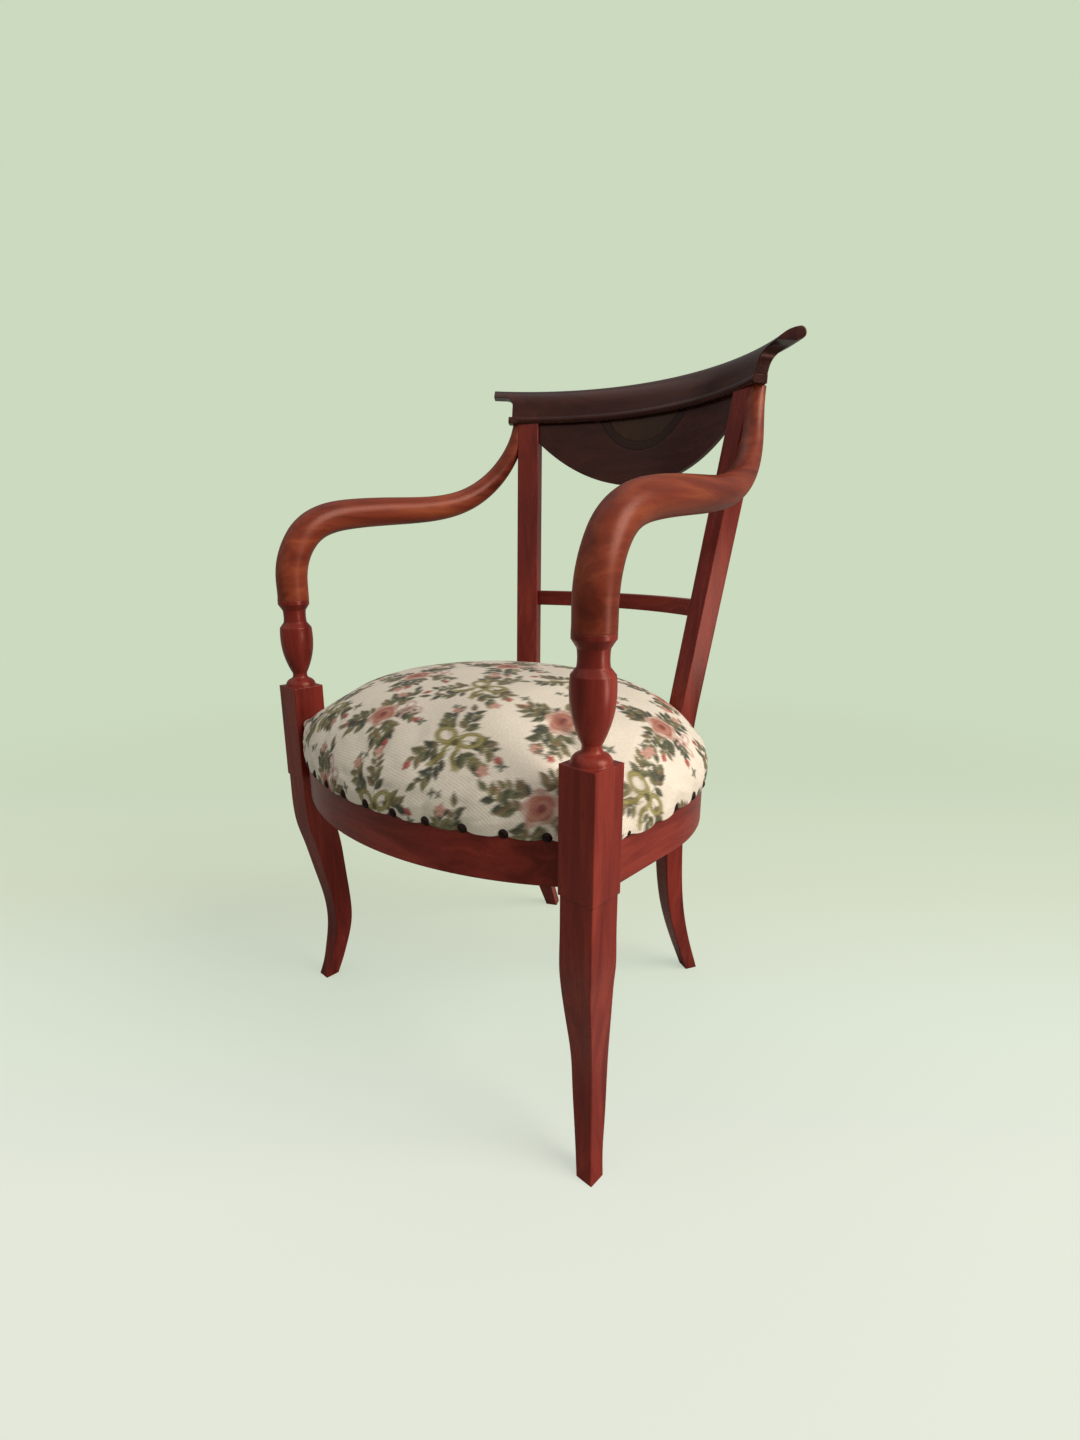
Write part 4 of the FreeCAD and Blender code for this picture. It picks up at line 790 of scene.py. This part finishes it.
def make_seat_cover():
    """The tapestry cover, settled by the simulation, with its hem turned under.

    The simulation runs on every second point of the grid, and a point between takes the mean of its two
    neighbours' moves.
    """
    count = COVER_GRID
    points, flat, free = cover_points(count)
    half = count // 2 + 1
    move = np.zeros((count, count, 3))
    move[::2, ::2] = settled(half).reshape(half, half, 3)
    move[1::2] = (move[:-1:2] + move[2::2]) / 2
    move[:, 1::2] = (move[:, :-1:2] + move[:, 2::2]) / 2
    points = points + move.reshape(-1, 3) * free[:, None]
    index = np.arange(count * count).reshape(count, count)
    rim = np.concatenate([index[0, :-1], index[:-1, -1], index[-1, :0:-1], index[:0:-1, 0]])
    outward = points[rim, :2] - (0.0, SEAT_MIDDLE_Y)
    outward = outward / np.hypot(*outward.T)[:, None]
    folds = []
    for inward, up in HEM_FOLDS:
        ring = points[rim].copy()
        ring[:, :2] -= outward * inward
        ring[:, 2] += up
        folds.append(ring)
    loops = [rim] + [count * count + k * len(rim) + np.arange(len(rim)) for k in range(len(folds))]
    walls = [np.stack([a, b, np.roll(b, -1), np.roll(a, -1)], 1) for a, b in zip(loops[:-1], loops[1:])]
    points = np.concatenate([points] + folds)
    flat = np.concatenate([flat] + [flat[rim]] * len(folds))
    obj = put_mesh("seat_cover_tapestry", points, [grid_faces(count, count)] + walls, tapestry)
    place = obj.data.attributes.new("flat_place", "FLOAT2", "POINT")
    place.data.foreach_set("vector", flat.astype(np.float32).ravel())
    return obj


def dress_cover(obj):
    """Fixes one subdivision into the cover, then draws the tapestry on its points and unwraps it flat."""
    subdivision = obj.modifiers.new("rounding", "SUBSURF")
    subdivision.levels = subdivision.render_levels = 1
    evaluated = obj.evaluated_get(bpy.context.evaluated_depsgraph_get())
    mesh = bpy.data.meshes.new_from_object(evaluated)
    obj.modifiers.clear()
    obj.data = mesh
    mesh.name = obj.name
    count = len(mesh.vertices)
    flat = np.zeros(count * 2, np.float32)
    mesh.attributes["flat_place"].data.foreach_get("vector", flat)
    flat = flat.reshape(-1, 2)
    colour = mesh.color_attributes.new("tapestry", "FLOAT_COLOR", "POINT")
    rgba = np.ones((count, 4), np.float32)
    rgba[:, :3] = tapestry_colours(flat.astype(float))
    colour.data.foreach_set("color", rgba.ravel())
    corner = np.zeros(len(mesh.loops), np.int32)
    mesh.loops.foreach_get("vertex_index", corner)
    mesh.uv_layers.new(name="flat").data.foreach_set("uv", (flat[corner] * MM).ravel())


def make_stuffing():
    """The pad under the cover: the same crowned table drawn in by a few millimetres, closed underneath."""
    radius_table, height_table, _ = seat_sections(shrink=STUFFING_INSIDE, skirt=False)
    angle = np.linspace(-np.pi, np.pi, PAD_COLUMNS + 1)[:-1]
    down = np.linspace(0.0, 1.0, PAD_ROWS + 1)[1:]
    a, d = np.meshgrid(angle, down)
    radius = looked_up(radius_table, d, a)
    height = looked_up(height_table, d, a)
    ring = np.stack([radius * np.cos(a), SEAT_MIDDLE_Y + radius * np.sin(a), height], -1).reshape(-1, 3)
    top = [0.0, SEAT_MIDDLE_Y, height_table[0].mean()]
    base = [0.0, SEAT_MIDDLE_Y, PAD_BOTTOM_Z + STUFFING_LIFT]
    points = np.concatenate([ring, [top, base]])
    k = np.arange(angle.size)
    upper = np.arange(down.size - 1)[:, None] * angle.size
    after = (k + 1) % angle.size
    quads = np.stack([upper + k, upper + angle.size + k, upper + angle.size + after, upper + after], -1)
    last = (down.size - 1) * angle.size
    crown = np.stack([k, after, np.full_like(k, len(points) - 2)], 1)
    under = np.stack([last + after, last + k, np.full_like(k, len(points) - 1)], 1)
    return put_mesh("stuffing_pad_hair", points, [quads.reshape(-1, 4), crown, under], calico)


def make_hessian():
    """Hessian stretched over the webbing: the seat outline less an inset, filled with a disc grid.

    It ripples by a product of two sines, one across and one deep.
    """
    down, angle = disc_grid(HESSIAN_GRID)
    around, radius = plan_line(-EDGE_INSET)
    edge = np.interp(angle, around, radius, period=2 * np.pi)
    edge = np.minimum(edge, reach_to_legs(angle))
    r = down * edge
    x = r * np.cos(angle)
    y = SEAT_MIDDLE_Y + r * np.sin(angle)
    across, deep = HESSIAN_RIPPLE_LENGTHS
    z = HESSIAN_Z + HESSIAN_RIPPLE * np.sin(x / across) * np.sin(y / deep)
    faces = grid_faces(HESSIAN_GRID, HESSIAN_GRID)
    return put_mesh("hessian_stretched", np.stack([x, y, z], 1), [faces], hessian)


def make_straps(name, lengthwise):
    """Four straps of one direction, passing over and under the others by a flattened cosine along them."""
    around, radius = plan_line(-EDGE_INSET)
    reach = np.minimum(radius, reach_to_legs(around))
    x = reach * np.cos(around)
    y = SEAT_MIDDLE_Y + reach * np.sin(around)
    across = np.linspace(-WEB_WIDTH / 2, WEB_WIDTH / 2, WEB_COLUMNS)
    share = np.linspace(0.0, 1.0, WEB_ROWS)[:, None]
    front = (y < SEAT_MIDDLE_Y - WEB_ENDS_FROM_MIDDLE[1]) & (np.abs(x) < BLOCK_INNER_X)
    back = y > SEAT_MIDDLE_Y + WEB_ENDS_FROM_MIDDLE[1]
    right = x > WEB_ENDS_FROM_MIDDLE[0]
    points = []
    faces = []
    for strap in range(WEB_COUNT):
        place = (strap - (WEB_COUNT - 1) / 2) * WEB_PITCH
        if lengthwise:
            wide = place + across
            low = np.interp(wide, *np.stack([x[front], y[front]])[:, np.argsort(x[front])])
            high = np.interp(wide, *np.stack([x[back], y[back]])[:, np.argsort(x[back])])
            px = np.broadcast_to(wide, (WEB_ROWS, WEB_COLUMNS))
            py = low + (high - low) * share
            walk = py - SEAT_MIDDLE_Y
        else:
            wide = SEAT_MIDDLE_Y + place + across
            half = np.interp(wide, *np.stack([y[right], x[right]])[:, np.argsort(y[right])])
            px = half * (2 * share - 1)
            py = np.broadcast_to(wide, (WEB_ROWS, WEB_COLUMNS))
            walk = px
        phase = np.pi * (walk / WEB_PITCH - 0.5 + strap + (0 if lengthwise else 1))
        inside = np.clip((WEB_WEAVE_PITCHES * WEB_PITCH - np.abs(walk)) / WEB_WEAVE_EASE, 0.0, 1.0)
        wave = 0.5 + 0.5 * np.sign(np.cos(phase)) * np.abs(np.cos(phase)) ** WEB_WEAVE_FLATNESS
        middle = WEB_BOTTOM_Z + WEB_THICKNESS * (0.5 if lengthwise else 1.5)
        pz = middle + (WEB_WEAVE_RISE if lengthwise else -WEB_WEAVE_RISE) * inside * wave
        points.append(np.stack([px, py, pz], -1).reshape(-1, 3))
        faces.append(grid_faces(WEB_ROWS, WEB_COLUMNS, strap * WEB_ROWS * WEB_COLUMNS))
    obj = put_mesh(name, np.concatenate(points), faces, jute)
    thickness = obj.modifiers.new("cloth_thickness", "SOLIDIFY")
    thickness.thickness = WEB_DRAWN_THICKNESS * MM
    thickness.offset = 0.0
    return obj


cover = make_seat_cover()
dress_cover(cover)
stuffing = make_stuffing()
hessian_sheet = make_hessian()
straps_long = make_straps("straps_front_to_back", True)
straps_cross = make_straps("straps_side_to_side", False)

for piece, node, slot in (
    (cover, "seat_cover", "tapestry_cloth"),
    (stuffing, "stuffing_pad", "horsehair_pad"),
    (hessian_sheet, "hessian", "hessian_cloth"),
    (straps_long, "webbing_front_to_back", "jute_webbing"),
    (straps_cross, "webbing_side_to_side", "jute_webbing"),
):
    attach(piece, "root")
    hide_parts(node)


# Stage, light and camera

# Lengths are in metres and angles in degrees. The floor is palest at a spot under the camera's place and
# darkens along a fixed heading across it, under the chair; it melts into the backdrop between two radii.
BACKDROP = "#ccdabf"
FLOOR_BOUNCE = "#8c8f88"
FLOOR_PALE_SPOT = (0.603, -0.643, 0.0)
FLOOR_HEADING = (-0.676, 0.737, 0.0)
FLOOR_STOPS = ((0.18, "#e6ecdf"), (0.28, "#e0ead9"), (0.40, "#d8e1ca"), (0.60, "#cedcc2"), (0.80, BACKDROP))
FLOOR_SWEEP = 3.0
FLOOR_MELT = (1.4, 2.6)
FLOOR_OWN_LIGHT = 0.65
AMBIENT = 0.22
CAMERA_PLACE = (0.603, -0.643, 0.645)
CAMERA_DOWN = 14.57
CAMERA_TURN = 42.5
CAMERA_LENS_MM = 16.8
CAMERA_SENSOR_MM = 36.0


def floor_finish():
    """Pale painted floor, quite matt, that darkens a little across and melts into the backdrop.

    The camera sees it about two thirds lit of itself, as in a bright studio where shadows are pale. Light
    that bounces off it to the chair sees a mid grey, so that the shaded sides stay dark.
    """
    material, tree, shader = new_material("floor_pale_matt")
    coords = add(tree, "TexCoord").outputs["Object"]
    camera_ray = add(tree, "LightPath").outputs["Is Camera Ray"]
    from_spot = add(tree, "VectorMath", {0: coords, 1: FLOOR_PALE_SPOT}, operation="SUBTRACT").outputs[0]
    ahead = add(tree, "VectorMath", {0: from_spot, 1: FLOOR_HEADING}, operation="DOT_PRODUCT")
    sweep = add(tree, "MapRange", {"Value": ahead.outputs["Value"], 1: 0.0, 2: FLOOR_SWEEP, 3: 0.0, 4: 1.0})
    near = add(tree, "ValToRGB", {"Fac": sweep.outputs[0]}, ramp=FLOOR_STOPS)
    away = add(tree, "VectorMath", {0: coords}, operation="LENGTH").outputs["Value"]
    far = add(tree, "MapRange", {"Value": away, 1: FLOOR_MELT[0], 2: FLOOR_MELT[1], 3: 0.0, 4: 1.0},
              interpolation_type="SMOOTHSTEP").outputs[0]
    shown = add(tree, "Mix", {0: far, 6: near.outputs[0], 7: linear(BACKDROP)}, data_type="RGBA")
    colour = add(tree, "Mix", {0: camera_ray, 6: linear(FLOOR_BOUNCE), 7: shown.outputs[2]},
                 data_type="RGBA")
    wire(tree, shader, {"Base Color": colour.outputs[2], "Roughness": 0.95, "Specular IOR Level": 0.0})
    glow = add(tree, "Emission", {"Color": shown.outputs[2], "Strength": 1.0})
    own_light = add(tree, "MapRange", {"Value": far, 1: 0.0, 2: 1.0, 3: FLOOR_OWN_LIGHT, 4: 1.0})
    seen_light = add(tree, "Math", {0: own_light.outputs[0], 1: camera_ray}, operation="MULTIPLY")
    both = add(tree, "MixShader", {0: seen_light.outputs[0], 1: shader.outputs[0], 2: glow.outputs[0]})
    output = next(node for node in tree.nodes if node.type == "OUTPUT_MATERIAL")
    tree.links.new(both.outputs[0], output.inputs["Surface"])
    return material


def make_floor():
    """A flat disc: rings of growing radius turned round the upright axis."""
    radius = np.array([0.0, 0.5, 1.0, 2.0, 4.0, 10.0, 40.0]) / MM
    angle = np.linspace(0, 2 * np.pi, 65)
    r, a = np.meshgrid(radius, angle, indexing="ij")
    points = np.stack([r * np.cos(a), r * np.sin(a), np.zeros_like(r)], -1).reshape(-1, 3)
    return put_mesh("floor", points, [grid_faces(radius.size, angle.size)], floor_finish())


def put_lamp(name, kind, strength, colour):
    """A lamp of one kind, strength and colour."""
    lamp = bpy.data.lights.new(name, kind)
    lamp.energy = strength
    lamp.color = linear(colour)[:3]
    return put_object(name, lamp)


def soft_light(name, towards, spread, strength, colour):
    """Even light from a wide patch of the room, the same all over the chair."""
    lamp = put_lamp(name, "SUN", strength, colour)
    lamp.data.angle = radians(spread)
    lamp.rotation_euler = Vector(towards).to_track_quat("Z", "Y").to_euler()


def low_window(name, place, target, size, power, colour):
    """A lit square low beside the chair, which upright polished rounds mirror as a bright streak."""
    lamp = put_lamp(name, "AREA", power, colour)
    lamp.data.size = size
    lamp.location = place
    lamp.rotation_euler = (Vector(target) - Vector(place)).to_track_quat("-Z", "Y").to_euler()
    lamp.visible_camera = False


def light_room():
    """Dim even light from all round; the camera alone sees the plain backdrop."""
    world = bpy.data.worlds.new("studio")
    bpy.context.scene.world = world
    world.use_nodes = True
    tree = world.node_tree
    tree.nodes.clear()
    camera_ray = add(tree, "LightPath").outputs["Is Camera Ray"]
    ambient = add(tree, "Background", {"Color": linear("#eef0ee"), "Strength": AMBIENT})
    backdrop = add(tree, "Background", {"Color": linear(BACKDROP), "Strength": 1.0})
    mixed = add(tree, "MixShader", {0: camera_ray, 1: ambient.outputs[0], 2: backdrop.outputs[0]})
    add(tree, "OutputWorld", {"Surface": mixed.outputs[0]})


def put_camera():
    """The camera, at the photograph's place and viewing angle."""
    camera = put_object("camera", bpy.data.cameras.new("camera"))
    camera.data.lens = CAMERA_LENS_MM
    camera.data.sensor_width = CAMERA_SENSOR_MM
    camera.location = CAMERA_PLACE
    camera.rotation_euler = (radians(90 - CAMERA_DOWN), 0.0, radians(CAMERA_TURN))
    return camera


make_floor()
soft_light("window_right", (0.78, 0.26, 0.54), spread=40.0, strength=2.6, colour="#fffaf4")
soft_light("ceiling_soft", (0.0, -0.45, 1.0), spread=110.0, strength=0.85, colour="#ffffff")
low_window("window_low", (1.45, 0.15, 0.36), (0.25, -0.2, 0.55), size=0.4, power=3.6, colour="#fff4ee")
light_room()
bpy.context.scene.camera = put_camera()
bpy.context.scene.view_settings.view_transform = "Standard"
